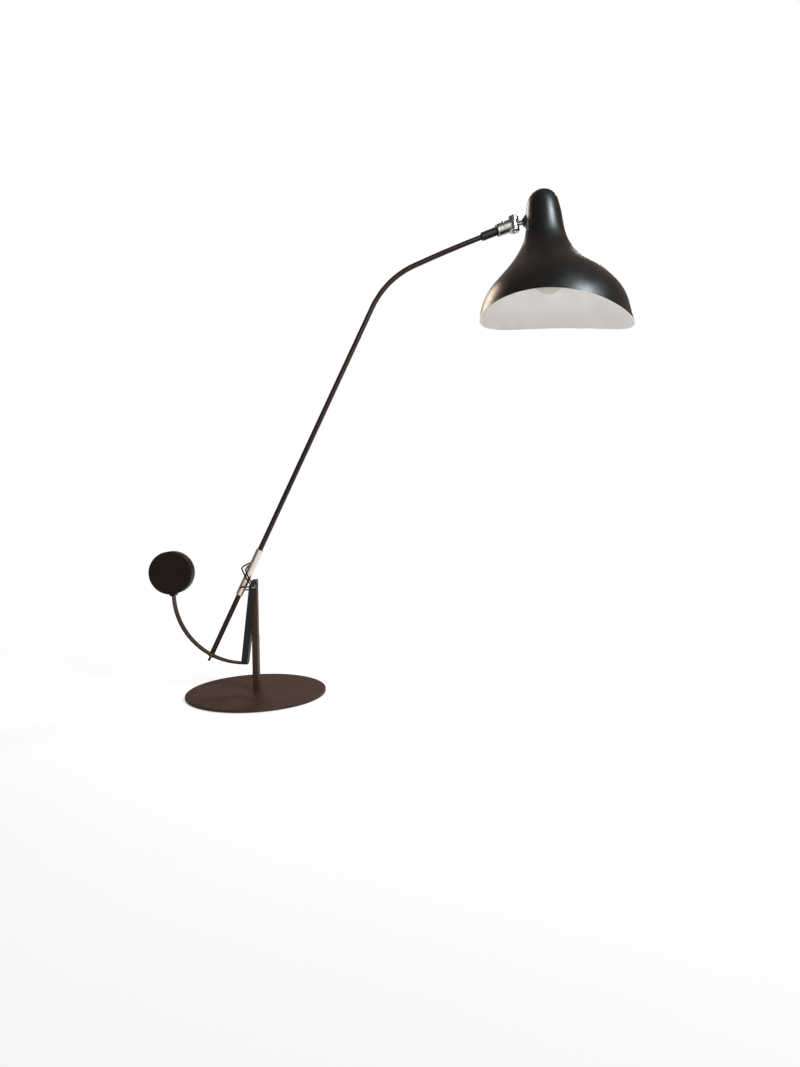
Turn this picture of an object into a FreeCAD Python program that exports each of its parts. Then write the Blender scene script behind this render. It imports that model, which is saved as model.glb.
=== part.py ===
import FreeCAD, Part
import os
import Sketcher
from math import acos, atan2, cos, hypot, pi, radians, sin, sqrt, tan

# A counterweight balance desk lamp. Millimetres, +Z up, origin on the table under the middle of the base.
# +X points from the post towards the shade. The lamp stands in the XZ plane.
#
# The lamp has five rigid groups: the stand, the carriage that tilts on the post, the arm that turns in the
# carriage's sleeve, the swivel on the arm's end and the head that turns on the swivel's knuckle.

Vector = FreeCAD.Vector
Rotation = FreeCAD.Rotation
Placement = FreeCAD.Placement
X_AXIS = Vector(1, 0, 0)
Y_AXIS = Vector(0, 1, 0)
Z_AXIS = Vector(0, 0, 1)

SIZES = {
    # stand
    "base_radius": 100.0,
    "base_thickness": 4.0,
    "base_edge_round": 1.5,
    "pad_radius": 96.0,
    "pad_thickness": 1.0,
    "post_width": 8.0,
    "post_depth": 16.0,
    "post_length": 161.4,
    "foot_screw_radius": 2.0,
    "foot_screw_length": 14.0,
    "foot_screw_pitch": 9.0,
    # tilt pivot at the top of the post
    "pivot_drop": 9.4,
    "pivot_radius": 2.0,
    "pivot_head_radius": 3.0,
    "pivot_head_depth": 2.4,
    "pivot_washer_thickness": 0.8,
    "pivot_washer_radius": 3.9,
    "fork_depth": 85.0,
    "running_clearance": 0.05,
    "seat_clearance": 0.02,
    # carriage: leg, strap and counterweight
    "leg_width": 9.0,
    "leg_depth": 16.0,
    "leg_lean": 7.05,
    "leg_bar_height": 40.0,
    "tongue_thickness": 6.0,
    "eye_radius": 3.8,
    "strap_radius": 102.0,
    "strap_thickness": 2.0,
    "strap_width": 12.0,
    "strap_toe_angle": 2.7,
    "strap_tail": 7.0,
    "strap_centre_back": 15.5,
    "strap_centre_drop": 10.2,
    "weight_radius": 31.0,
    "weight_thickness": 18.0,
    "weight_edge_round": 1.2,
    "weight_offset": 2.0,
    "weight_boss_width": 6.5,
    "weight_boss_depth": 14.5,
    "weight_boss_height": 2.5,
    "slot_clearance": 0.15,
    # sleeve and stays
    "arm_offset": 16.5,
    "arm_lean": 25.86,
    "sleeve_radius": 5.0,
    "sleeve_wall": 0.6,
    "sleeve_length": 71.0,
    "sleeve_below_pivot": 13.3,
    "bush_length": 10.0,
    "bush_flange": 0.8,
    "stay_wire_radius": 1.1,
    "lower_stay_height": 2.0,
    "lower_stay_tail": 7.0,
    "upper_stay_bend": 6.0,
    # arm
    "arm_radius": 3.6,
    "arm_wall": 1.0,
    "arm_straight": 554.7,
    "arm_below_strap": 3.0,
    "arm_bend_radius": 121.4,
    "arm_bend_turn": 40.52,
    "arm_sweep_radius": 1869.0,
    "arm_sweep_turn": 3.2,
    "arm_tip": 12.0,
    "lead_radius": 1.7,
    "gland_plug": 8.0,
    "gland_radius": 1.75,
    "gland_straight": 3.0,
    "gland_bend_radius": 14.0,
    "gland_bend_turn": 14.0,
    "gland_bore_radius": 0.9,
    # head joint
    "collar_radius": 5.9,
    "collar_length": 23.5,
    "collar_edge": 0.6,
    "spigot_radius": 5.0,
    "spigot_length": 7.0,
    "clip_radius": 6.4,
    "clip_thickness": 0.8,
    "swivel_washer_thickness": 0.5,
    "barrel_radius": 8.6,
    "barrel_length": 19.0,
    "barrel_back_wall": 2.6,
    "barrel_bore_radius": 7.0,
    "plug_gap": 0.5,
    "grip_distance": 12.0,
    "knuckle_radius": 8.0,
    "knuckle_height": 23.0,
    "knuckle_reach": 49.0,
    "knuckle_round": 3.0,
    "knuckle_gap": 8.1,
    "slot_ease": 0.4,
    "knuckle_washer_thickness": 0.5,
    "tongue_radius": 6.5,
    "knuckle_screw_radius": 2.0,
    "knuckle_head_radius": 3.6,
    "knuckle_head_height": 1.6,
    "grip_screw_radius": 1.5,
    "grip_head_radius": 2.0,
    "grip_head_height": 2.0,
    "swivel_turn": -1.4,
    "knuckle_turn": -16.5,
    "stem_radius": 3.25,
    "stem_bore_radius": 1.4,
    "neck_distance": 17.5,
    "neck_above_stem": 2.8,
    "shade_lean": 4.4,
    "stem_past_neck": 12.0,
    "boss_length": 5.0,
    "boss_small_radius": 4.4,
    "boss_large_radius": 9.4,
    # shade: stations from the crown down, the neck station being level with the stem
    "shade_wall": 0.9,
    "crown_radius": 2.5,
    "dome_step": 1.5,
    "dome_radius": 7.6,
    "temple_step": 3.7,
    "temple_radius": 14.0,
    "brow_step": 6.0,
    "brow_radius": 19.2,
    "nape_step": 10.0,
    "nape_radius": 22.7,
    "crown_shift": -1.4,
    "neck_step": 17.3,
    "neck_radius": 25.0,
    "shade_step": 16.0,
    "throat_radius": 26.5,
    "throat_shift": 1.2,
    "waist_radius": 30.4,
    "waist_shift": 2.0,
    "flare_radius": 38.9,
    "flare_shift": 3.0,
    "shoulder_radius": 51.7,
    "shoulder_shift": 5.4,
    "slope_radius": 68.0,
    "slope_shift": 8.4,
    "swell_radius": 83.1,
    "swell_shift": 9.3,
    "brim_radius": 94.6,
    "brim_shift": 10.3,
    "skirt_radius": 100.9,
    "skirt_shift": 11.2,
    "edge_radius": 104.6,
    "edge_shift": 11.4,
    "hem_radius": 109.0,
    "hem_shift": 11.4,
    "rim_drop": 127.2,
    "rim_arch_radius": 298.0,
    "rim_tilt": 4.5,
    # inside the shade: saddle, bracket, lampholder and bulb
    "saddle_radius": 5.6,
    "saddle_reach": 4.5,
    "stem_nut_radius": 5.5,
    "stem_nut_height": 4.0,
    "bracket_thickness": 1.5,
    "bracket_width": 12.0,
    "bracket_top": 5.5,
    "holder_drop": 7.5,
    "holder_radius": 13.5,
    "holder_height": 38.5,
    "holder_wall": 2.0,
    "holder_rib": 0.6,
    "nipple_radius": 5.0,
    "nipple_height": 4.5,
    "nipple_bore_radius": 1.4,
    "holder_nut_radius": 7.5,
    "holder_nut_height": 2.5,
    "cap_radius": 6.9,
    "cap_length": 21.0,
    "cap_thread": 0.5,
    "cap_wall": 0.5,
    "contact_radius": 2.6,
    "contact_height": 1.4,
    "tip_radius": 4.2,
    "tip_height": 2.2,
    "globe_radius": 22.5,
    "globe_wall": 0.9,
    "bulb_drop": 104.5,
    "bulb_length": 78.0,
    "head_lead_radius": 0.9,
    "lead_bend_radius": 5.0,
}

doc = FreeCAD.newDocument("BalanceLamp")
sheet = doc.addObject("Spreadsheet::Sheet", "sizes")
for row, (name, number) in enumerate(SIZES.items(), start=1):
    sheet.set("A%d" % row, name)
    sheet.set("B%d" % row, str(number))
    sheet.setAlias("B%d" % row, name)
doc.recompute()


# ---------------------------------------------------------------- helpers


def size(name):
    """A driving size, read from the sheet."""
    return float(sheet.get(name))


def named(text):
    """An expression written with bare size names, with the sheet's name put before each of them."""
    words = []
    word = ""
    for letter in text + " ":
        if letter.isalnum() or letter == "_":
            word += letter
            continue
        words.append("sizes." + word if word in SIZES else word)
        words.append(letter)
        word = ""
    return "".join(words).strip()


def origin_plane(body, role):
    for feature in body.Origin.OriginFeatures:
        if feature.Role == role:
            return feature


def new_body(label):
    return doc.addObject("PartDesign::Body", label)


def new_sketch(body, role, lift="0"):
    """A sketch on one of the body's own origin planes, lifted along that plane's normal."""
    sketch = body.newObject("Sketcher::SketchObject", body.Name + "_sketch")
    sketch.AttachmentSupport = [(origin_plane(body, role), "")]
    sketch.MapMode = "FlatFace"
    sketch.setExpression("AttachmentOffset.Base.z", named(lift))
    return sketch


def bind(sketch, constraint, text):
    index = sketch.addConstraint(constraint)
    sketch.setExpression("Constraints[%d]" % index, named(text))


def pin(sketch, geometry, point, across, up):
    """Bind both coordinates of a point of the sketch."""
    now = sketch.getPoint(geometry, point)
    bind(sketch, Sketcher.Constraint("DistanceX", -1, 1, geometry, point, now.x), across)
    bind(sketch, Sketcher.Constraint("DistanceY", -1, 1, geometry, point, now.y), up)


def draw_polygon(sketch, corners):
    """A closed outline whose corners are pairs of expressions."""
    count = len(corners)
    ring = [Vector(10 * cos(2 * pi * i / count), 10 * sin(2 * pi * i / count), 0) for i in range(count)]
    lines = [sketch.addGeometry(Part.LineSegment(ring[i], ring[(i + 1) % count])) for i in range(count)]
    for i in range(count):
        sketch.addConstraint(Sketcher.Constraint("Coincident", lines[i], 2, lines[(i + 1) % count], 1))
    for line, (across, up) in zip(lines, corners):
        pin(sketch, line, 1, across, up)


def draw_box(sketch, left, right, bottom, top):
    draw_polygon(sketch, [(left, bottom), (right, bottom), (right, top), (left, top)])


def draw_circle(sketch, across, up, radius):
    circle = sketch.addGeometry(Part.Circle(Vector(1, 1, 0), Z_AXIS, 3))
    pin(sketch, circle, 3, across, up)
    bind(sketch, Sketcher.Constraint("Radius", circle, 3.0), radius)


def add_feature(body, kind, sketch):
    feature = body.newObject("PartDesign::" + kind, body.Name + "_" + kind.lower())
    feature.Profile = sketch
    return feature


def pad(body, sketch, length, symmetric=False):
    feature = add_feature(body, "Pad", sketch)
    feature.setExpression("Length", named(length))
    feature.SideType = "Symmetric" if symmetric else "One side"
    return feature


def pocket(body, sketch, length, symmetric=False, reverse=False):
    """A cut that must take material away."""
    doc.recompute()
    before = body.Shape.Volume
    feature = add_feature(body, "Pocket", sketch)
    feature.setExpression("Length", named(length))
    feature.SideType = "Symmetric" if symmetric else "One side"
    feature.Reversed = reverse
    doc.recompute()
    if not body.Shape.Volume < before - 0.01:
        raise RuntimeError("a pocket of %s cuts nothing" % body.Label)
    return feature


def revolve(body, corners):
    """A turned piece about the body's Z axis, from (radius, height) corners."""
    sketch = new_sketch(body, "XZ_Plane")
    draw_polygon(sketch, corners)
    feature = add_feature(body, "Revolution", sketch)
    feature.ReferenceAxis = (sketch, ["V_Axis"])
    feature.Angle = 360
    return feature


def dress_edges(body, kind, amount, wanted):
    """A Fillet or Chamfer of the body's edges for which wanted(edge) holds."""
    doc.recompute()
    tip = body.Tip
    names = ["Edge%d" % (i + 1) for i, edge in enumerate(tip.Shape.Edges) if wanted(edge)]
    if not names:
        raise RuntimeError("no edge of %s to dress" % body.Label)
    feature = body.newObject("PartDesign::" + kind, body.Name + "_" + kind.lower())
    feature.Base = (tip, names)
    feature.setExpression("Radius" if kind == "Fillet" else "Size", named(amount))
    return feature


def is_circle(edge, radius):
    return isinstance(edge.Curve, Part.Circle) and abs(edge.Curve.Radius - radius) < 1e-4


def primitive(kind, label, place=None, **texts):
    """A Part primitive whose properties are bound to expressions."""
    item = doc.addObject("Part::" + kind, label)
    for name, text in texts.items():
        item.setExpression(name, named(text))
    if place:
        item.Placement = place
    return item


def cut(label, base, tool):
    item = doc.addObject("Part::Cut", label)
    item.Base = base
    item.Tool = tool
    return item


def common(label, base, tool):
    item = doc.addObject("Part::Common", label)
    item.Base = base
    item.Tool = tool
    return item


def fuse(label, pieces):
    item = doc.addObject("Part::MultiFuse", label)
    item.Shapes = pieces
    return item


def group(label, pieces):
    """Identical pieces that share one node, as separate solids."""
    item = doc.addObject("Part::Compound", label)
    item.Links = pieces
    return item


def at(x=0.0, y=0.0, z=0.0, rotation=None):
    return Placement(Vector(x, y, z), rotation or Rotation())


def spin(axis, angle):
    return Placement(Vector(), Rotation(axis, angle))


def ring(label, outer, inner, height, place=None):
    """A plain ring on its own Z axis."""
    body = new_body(label)
    sketch = new_sketch(body, "XY_Plane")
    draw_circle(sketch, "0", "0", outer)
    draw_circle(sketch, "0", "0", inner)
    pad(body, sketch, height)
    if place:
        body.Placement = place
    return body


def rounded_wire(points, radii):
    """Straight runs through the points, joined by tangent arcs."""
    edges = []
    start = points[0]
    for i, radius in enumerate(radii, start=1):
        back = (points[i - 1] - points[i]).normalize()
        ahead = (points[i + 1] - points[i]).normalize()
        half = back.getAngle(ahead) / 2
        reach = radius / tan(half)
        middle = (back + ahead).normalize()
        arc_start = points[i] + back * reach
        arc_end = points[i] + ahead * reach
        arc_middle = points[i] + middle * (radius / sin(half) - radius)
        edges.append(Part.LineSegment(start, arc_start).toShape())
        edges.append(Part.Arc(arc_start, arc_middle, arc_end).toShape())
        start = arc_end
    edges.append(Part.LineSegment(start, points[-1]).toShape())
    return Part.Wire(edges)


def wire_piece(label, points, radii, wire_radius):
    """A round wire bent along a rounded path."""
    path = doc.addObject("Part::Feature", label + "_path")
    path.Shape = rounded_wire(points, radii)
    run = (points[1] - points[0]).normalize()
    section = primitive("Circle", label + "_section", Radius=wire_radius)
    section.Placement = Placement(points[0], Rotation(Z_AXIS, run))
    sweep = doc.addObject("Part::Sweep", label)
    sweep.Sections = [section]
    sweep.Spine = (path, ["Edge%d" % (i + 1) for i in range(len(path.Shape.Edges))])
    sweep.Solid = True
    sweep.Frenet = False
    return sweep


# ---------------------------------------------------------------- frames that the pieces hang on

BASE_TOP = size("pad_thickness") + size("base_thickness")
PIVOT_HEIGHT = BASE_TOP + size("post_length") - size("pivot_drop")
PIVOT = at(z=PIVOT_HEIGHT)
ARM_LEAN = radians(size("arm_lean"))
ARM_END_LEAN = size("arm_lean") + size("arm_bend_turn") + size("arm_sweep_turn")


def arm_frame(along):
    """On the arm's straight axis, a distance past the pivot's height, with Z up the arm."""
    base = Vector(-size("arm_offset") + along * sin(ARM_LEAN), 0, PIVOT_HEIGHT + along * cos(ARM_LEAN))
    return Placement(base, Rotation(Y_AXIS, size("arm_lean")))


def strap_crossing():
    """How far below the pivot's height, along the arm, the arm meets the middle of the strap."""
    across = size("arm_offset") - size("strap_centre_back")
    down = size("strap_centre_drop")
    along = down * cos(ARM_LEAN) - across * sin(ARM_LEAN)
    aside = down * sin(ARM_LEAN) + across * cos(ARM_LEAN)
    return along + sqrt(size("strap_radius") ** 2 - aside ** 2)


ARM_FOOT = -(strap_crossing() + size("arm_below_strap"))


def arm_end_point():
    """The end of the arm's long sweep, as (across, along) in the frame of the arm's foot."""
    bend = size("arm_bend_radius")
    sweep = size("arm_sweep_radius")
    first = radians(size("arm_bend_turn"))
    last = radians(size("arm_bend_turn") + size("arm_sweep_turn"))
    across = bend + (sweep - bend) * cos(first) - sweep * cos(last)
    along = size("arm_straight") - (sweep - bend) * sin(first) + sweep * sin(last)
    return across, along


def arm_end_frame(along=0.0):
    """On the axis of the arm's end, a distance past the long sweep, with Z towards the shade."""
    across, up = arm_end_point()
    turn = size("arm_bend_turn") + size("arm_sweep_turn")
    return arm_frame(ARM_FOOT) * at(across, 0, up) * spin(Y_AXIS, turn) * at(z=along)


def swivel_frame(along=0.0):
    """As the arm's end frame, but turned with the swivel."""
    return arm_end_frame() * spin(Z_AXIS, size("swivel_turn")) * at(z=along)


# The fork is bent so that the knuckle's pivot runs along X here, parallel to the shade's own leaning axis, and
# the stem runs along Z.
STEM_LEAN = 90 - size("shade_lean")
FORK_BEND = STEM_LEAN - ARM_END_LEAN
KNUCKLE = swivel_frame(size("knuckle_reach")) * spin(Y_AXIS, FORK_BEND)
HEAD = KNUCKLE * spin(X_AXIS * -1, size("knuckle_turn"))
# Where the stem meets the outside of the neck: with Z up the shade, and with Z along the stem.
NECK_STEM = HEAD * at(z=size("neck_distance"))
NECK = NECK_STEM * spin(Y_AXIS, -STEM_LEAN)
# On the neck's own centre, with Z up the lampholder's axis.
HOLDER = NECK * at(size("neck_radius")) * spin(Y_AXIS, -size("shade_lean"))


# ---------------------------------------------------------------- stand


def make_base():
    primitive("Cylinder", "base_pad", Radius="pad_radius", Height="pad_thickness")

    plate = new_body("base_plate")
    sketch = new_sketch(plate, "XY_Plane")
    draw_circle(sketch, "0", "0", "base_radius")
    pad(plate, sketch, "base_thickness")
    holes = new_sketch(plate, "XY_Plane")
    for side in ("-", ""):
        draw_circle(holes, "0", side + "foot_screw_pitch / 2", "foot_screw_radius + running_clearance")
    pocket(plate, holes, "base_thickness", reverse=True)
    hole_radius = size("foot_screw_radius") + size("running_clearance")
    dress_edges(plate, "Chamfer", "foot_screw_radius",
                lambda edge: is_circle(edge, hole_radius) and abs(edge.CenterOfMass.z) < 0.01)
    dress_edges(plate, "Fillet", "base_edge_round",
                lambda edge: is_circle(edge, size("base_radius")) and edge.CenterOfMass.z > 0.01)
    plate.Placement = at(z=size("pad_thickness"))

    screws = []
    for i, side in enumerate((-1, 1)):
        place = at(0, side * size("foot_screw_pitch") / 2, size("pad_thickness"))
        head = primitive("Cone", "foot_screw_head_%d" % i, place, Radius1="foot_screw_radius * 2",
                         Radius2="foot_screw_radius", Height="foot_screw_radius")
        shank = primitive("Cylinder", "foot_screw_shank_%d" % i, place, Radius="foot_screw_radius",
                          Height="foot_screw_length")
        screws.append(fuse("foot_screw_%d" % i, [head, shank]))
    group("foot_screws", screws)


def make_post():
    post = new_body("post")
    section = new_sketch(post, "XY_Plane")
    draw_box(section, "-post_width / 2", "post_width / 2", "-post_depth / 2", "post_depth / 2")
    pad(post, section, "post_length")

    fork = new_sketch(post, "YZ_Plane")
    half_gap = "(tongue_thickness / 2 + pivot_washer_thickness + 2 * running_clearance)"
    draw_box(fork, "-" + half_gap, half_gap, "post_length - fork_depth", "post_length + 1")
    pocket(post, fork, "post_width * 2", symmetric=True)

    pivot = new_sketch(post, "XZ_Plane")
    draw_circle(pivot, "0", "post_length - pivot_drop", "pivot_radius + running_clearance")
    pocket(post, pivot, "post_depth * 2", symmetric=True)

    for lift, reverse in (("post_depth / 2", False), ("-post_depth / 2", True)):
        recess = new_sketch(post, "XZ_Plane", lift)
        draw_circle(recess, "0", "post_length - pivot_drop", "pivot_head_radius + running_clearance")
        pocket(post, recess, "pivot_head_depth", reverse=reverse)

    feet = new_sketch(post, "XY_Plane")
    for side in ("-", ""):
        draw_circle(feet, "0", side + "foot_screw_pitch / 2", "foot_screw_radius + seat_clearance")
    pocket(post, feet, "foot_screw_length - base_thickness + 1", reverse=True)
    post.Placement = at(z=BASE_TOP)


def make_pivot():
    half_depth = size("post_depth") / 2
    head_depth = size("pivot_head_depth")
    facing_back = Rotation(X_AXIS, -90)

    bolt = new_body("pivot_bolt")
    revolve(bolt, [
        ("0", "0"),
        ("pivot_head_radius", "0"),
        ("pivot_head_radius", "pivot_head_depth"),
        ("pivot_radius", "pivot_head_depth"),
        ("pivot_radius", "post_depth - 0.8"),
        ("0", "post_depth - 0.8"),
    ])
    socket = new_sketch(bolt, "XY_Plane")
    corners = [("%.6f * pivot_radius * 0.7" % cos(pi * i / 3), "%.6f * pivot_radius * 0.7" % sin(pi * i / 3))
               for i in range(6)]
    draw_polygon(socket, corners)
    pocket(bolt, socket, "pivot_head_depth * 0.6", reverse=True)
    bolt.Placement = PIVOT * at(0, -half_depth, 0, facing_back)

    ring("pivot_nut", "pivot_head_radius", "pivot_radius + seat_clearance", "pivot_head_depth",
         PIVOT * at(0, half_depth - head_depth, 0, facing_back))

    washers = []
    thickness = size("pivot_washer_thickness")
    lift = size("tongue_thickness") / 2 + size("running_clearance")
    for i, start in enumerate((lift, -lift - thickness)):
        washers.append(ring("pivot_washer_%d" % i, "pivot_washer_radius", "pivot_radius + running_clearance",
                            "pivot_washer_thickness", PIVOT * at(0, start, 0, facing_back)))
    group("pivot_washers", washers)


# ---------------------------------------------------------------- carriage


# The top of the strap's toe, where the leg's left edge stands, seen from the pivot.
TOE_X = "(-strap_centre_back - (strap_radius - strap_thickness / 2) * sin(strap_toe_angle * 1deg))"
TOE_Z = "(-strap_centre_drop - (strap_radius - strap_thickness / 2) * cos(strap_toe_angle * 1deg))"
HEEL_X = "(" + TOE_X + " + leg_width * cos(strap_toe_angle * 1deg))"
HEEL_Z = "(" + TOE_Z + " - leg_width * sin(strap_toe_angle * 1deg))"


def up_the_leg(corner_x, corner_z, distance):
    return (corner_x + " + " + distance + " * sin(leg_lean * 1deg)",
            corner_z + " + " + distance + " * cos(leg_lean * 1deg)")


def beside_sleeve(along):
    """A point on the sleeve's right side, seen from the pivot."""
    return ("-arm_offset + " + along + " * sin(arm_lean * 1deg) + sleeve_radius * cos(arm_lean * 1deg)",
            along + " * cos(arm_lean * 1deg) - sleeve_radius * sin(arm_lean * 1deg)")


def make_leg():
    leg = new_body("counterweight_leg")
    shoulder_left = up_the_leg(TOE_X, TOE_Z, "leg_bar_height")
    shoulder_right = up_the_leg(HEEL_X, HEEL_Z, "leg_bar_height")
    bar = new_sketch(leg, "XZ_Plane")
    draw_polygon(bar, [(TOE_X, TOE_Z), (HEEL_X, HEEL_Z), shoulder_right, shoulder_left])
    pad(leg, bar, "leg_depth", symmetric=True)

    # The thin upper part reaches the pivot inside the post's fork and widens into a plate by the sleeve.
    to_pivot = "(-" + HEEL_Z + " / cos(leg_lean * 1deg))"
    to_plate = "((-" + TOE_Z + " - sleeve_radius) / cos(leg_lean * 1deg))"
    tongue = new_sketch(leg, "XZ_Plane")
    draw_polygon(tongue, [
        shoulder_left,
        shoulder_right,
        up_the_leg(HEEL_X, HEEL_Z, to_pivot),
        ("eye_radius / 2", "pivot_drop"),
        beside_sleeve("(pivot_drop + 2 * sleeve_radius)"),
        beside_sleeve("(stay_wire_radius - sleeve_below_pivot)"),
        up_the_leg(TOE_X, TOE_Z, to_plate),
    ])
    pad(leg, tongue, "tongue_thickness", symmetric=True)

    eye = new_sketch(leg, "XZ_Plane")
    draw_circle(eye, "0", "0", "eye_radius")
    pad(leg, eye, "tongue_thickness", symmetric=True)
    hole = new_sketch(leg, "XZ_Plane")
    draw_circle(hole, "0", "0", "pivot_radius + running_clearance")
    pocket(leg, hole, "tongue_thickness * 2", symmetric=True)
    leg.Placement = PIVOT


def make_strap():
    centre = PIVOT * at(-size("strap_centre_back"), 0, -size("strap_centre_drop"))
    half_width = size("strap_width") / 2
    sector = at(0, half_width, 0, Rotation(X_AXIS, 90) * Rotation(Z_AXIS, 180))
    outer = primitive("Cylinder", "strap_outer", sector, Radius="strap_radius + strap_thickness / 2",
                      Height="strap_width", Angle="90 - strap_toe_angle")
    inner = primitive("Cylinder", "strap_inner", Radius="strap_radius - strap_thickness / 2",
                      Height="strap_width * 2")
    inner.Placement = at(0, size("strap_width"), 0, Rotation(X_AXIS, 90))
    bow = cut("strap_bow", outer, inner)

    toe_turn = size("strap_toe_angle")
    toe_place = spin(Y_AXIS, toe_turn) * at(0, -half_width, -size("strap_radius") - size("strap_thickness") / 2)
    toe = primitive("Box", "strap_toe", toe_place, Length="leg_width", Width="strap_width",
                    Height="strap_thickness")
    tail_place = at(-size("strap_radius") - size("strap_thickness") / 2, -half_width, 0)
    tail = primitive("Box", "strap_tail_end", tail_place, Length="strap_thickness", Width="strap_width",
                     Height="strap_tail")
    blank = fuse("strap_blank", [bow, toe, tail])
    blank.Refine = True
    blank.Placement = centre

    crossing = arm_frame(-strap_crossing()) * at(z=-2 * size("strap_thickness"))
    drill = primitive("Cylinder", "strap_drill", crossing, Radius="arm_radius + arm_wall",
                      Height="strap_thickness * 4")
    cut("counterweight_strap", blank, drill)

    # The eyelet stands in the strap's hole and guides the arm's end.
    eyelet = new_body("strap_eyelet")
    revolve(eyelet, [
        ("arm_radius + running_clearance", "-strap_thickness"),
        ("arm_radius + arm_wall", "-strap_thickness"),
        ("arm_radius + arm_wall", "strap_thickness * 0.75"),
        ("arm_radius + arm_wall * 1.8", "strap_thickness * 0.75"),
        ("arm_radius + arm_wall * 1.8", "strap_thickness"),
        ("arm_radius + running_clearance", "strap_thickness"),
    ])
    eyelet.Placement = arm_frame(-strap_crossing())


def make_weight():
    weight = new_body("counterweight_disc")
    face = new_sketch(weight, "XZ_Plane")
    draw_circle(face, "0", "0", "weight_radius")
    pad(weight, face, "weight_thickness", symmetric=True)
    dress_edges(weight, "Fillet", "weight_edge_round", lambda edge: is_circle(edge, size("weight_radius")))

    boss = new_sketch(weight, "XZ_Plane")
    draw_box(boss, "weight_offset - weight_boss_width / 2", "weight_offset + weight_boss_width / 2",
             "-weight_radius - weight_boss_height", "-weight_radius * 0.8")
    pad(weight, boss, "weight_boss_depth", symmetric=True)

    slot = new_sketch(weight, "XZ_Plane")
    half_slot = "(strap_thickness / 2 + slot_clearance)"
    draw_box(slot, "weight_offset - " + half_slot, "weight_offset + " + half_slot,
             "-weight_radius - weight_boss_height - 1", "strap_tail + slot_clearance - weight_radius")
    pocket(weight, slot, "strap_width + 2 * slot_clearance", symmetric=True)
    weight.Placement = PIVOT * at(
        -size("strap_centre_back") - size("strap_radius") - size("weight_offset"), 0,
        size("weight_radius") - size("strap_centre_drop"))


def make_sleeve():
    foot = -size("sleeve_below_pivot")
    ring("sleeve", "sleeve_radius", "sleeve_radius - sleeve_wall", "sleeve_length", arm_frame(foot))
    ends = (("sleeve_bush_lower", arm_frame(foot) * spin(X_AXIS, 180)),
            ("sleeve_bush_upper", arm_frame(foot + size("sleeve_length"))))
    for label, place in ends:
        bush = new_body(label)
        revolve(bush, [
            ("arm_radius + running_clearance", "-bush_length"),
            ("sleeve_radius - sleeve_wall", "-bush_length"),
            ("sleeve_radius - sleeve_wall", "0"),
            ("sleeve_radius", "0"),
            ("sleeve_radius", "bush_flange / 2"),
            ("sleeve_radius - bush_flange / 2", "bush_flange"),
            ("arm_radius + running_clearance", "bush_flange"),
        ])
        bush.Placement = place


def make_stays():
    """Two bent wires brazed to the leg's plate: one clips round the sleeve, one runs past it and back."""
    plate_side = size("tongue_thickness") / 2 + size("stay_wire_radius")
    around = size("sleeve_radius") + size("stay_wire_radius")

    frame = arm_frame(-size("sleeve_below_pivot") + size("lower_stay_height") + size("sleeve_radius"))
    corner = around * 1.25
    tail = around + size("lower_stay_tail")
    clip_points = [
        Vector(tail, -plate_side, 0),
        Vector(size("sleeve_radius"), -plate_side, 0),
        Vector(0, -corner, 0),
        Vector(-corner, -corner, 0),
        Vector(-corner, corner, 0),
        Vector(0, corner, 0),
        Vector(size("sleeve_radius"), plate_side, 0),
        Vector(tail, plate_side, 0),
    ]
    clip_radii = [2.5, 4.0, around, around, 4.0, 2.5]
    lower = wire_piece("lower_stay", clip_points, clip_radii, "stay_wire_radius")
    lower.Placement = frame

    behind = around + size("running_clearance")
    hairpin = [
        Vector(-3.5, -plate_side - size("running_clearance"), 12.0),
        Vector(-21.0, -15.0, 30.0),
        Vector(-20.5, 8.0, 28.0),
        Vector(0.0, behind, 36.0),
    ]
    bend = size("upper_stay_bend")
    upper = wire_piece("upper_stay", hairpin, [bend, bend], "stay_wire_radius")
    upper.Placement = PIVOT


# ---------------------------------------------------------------- arm


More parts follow.
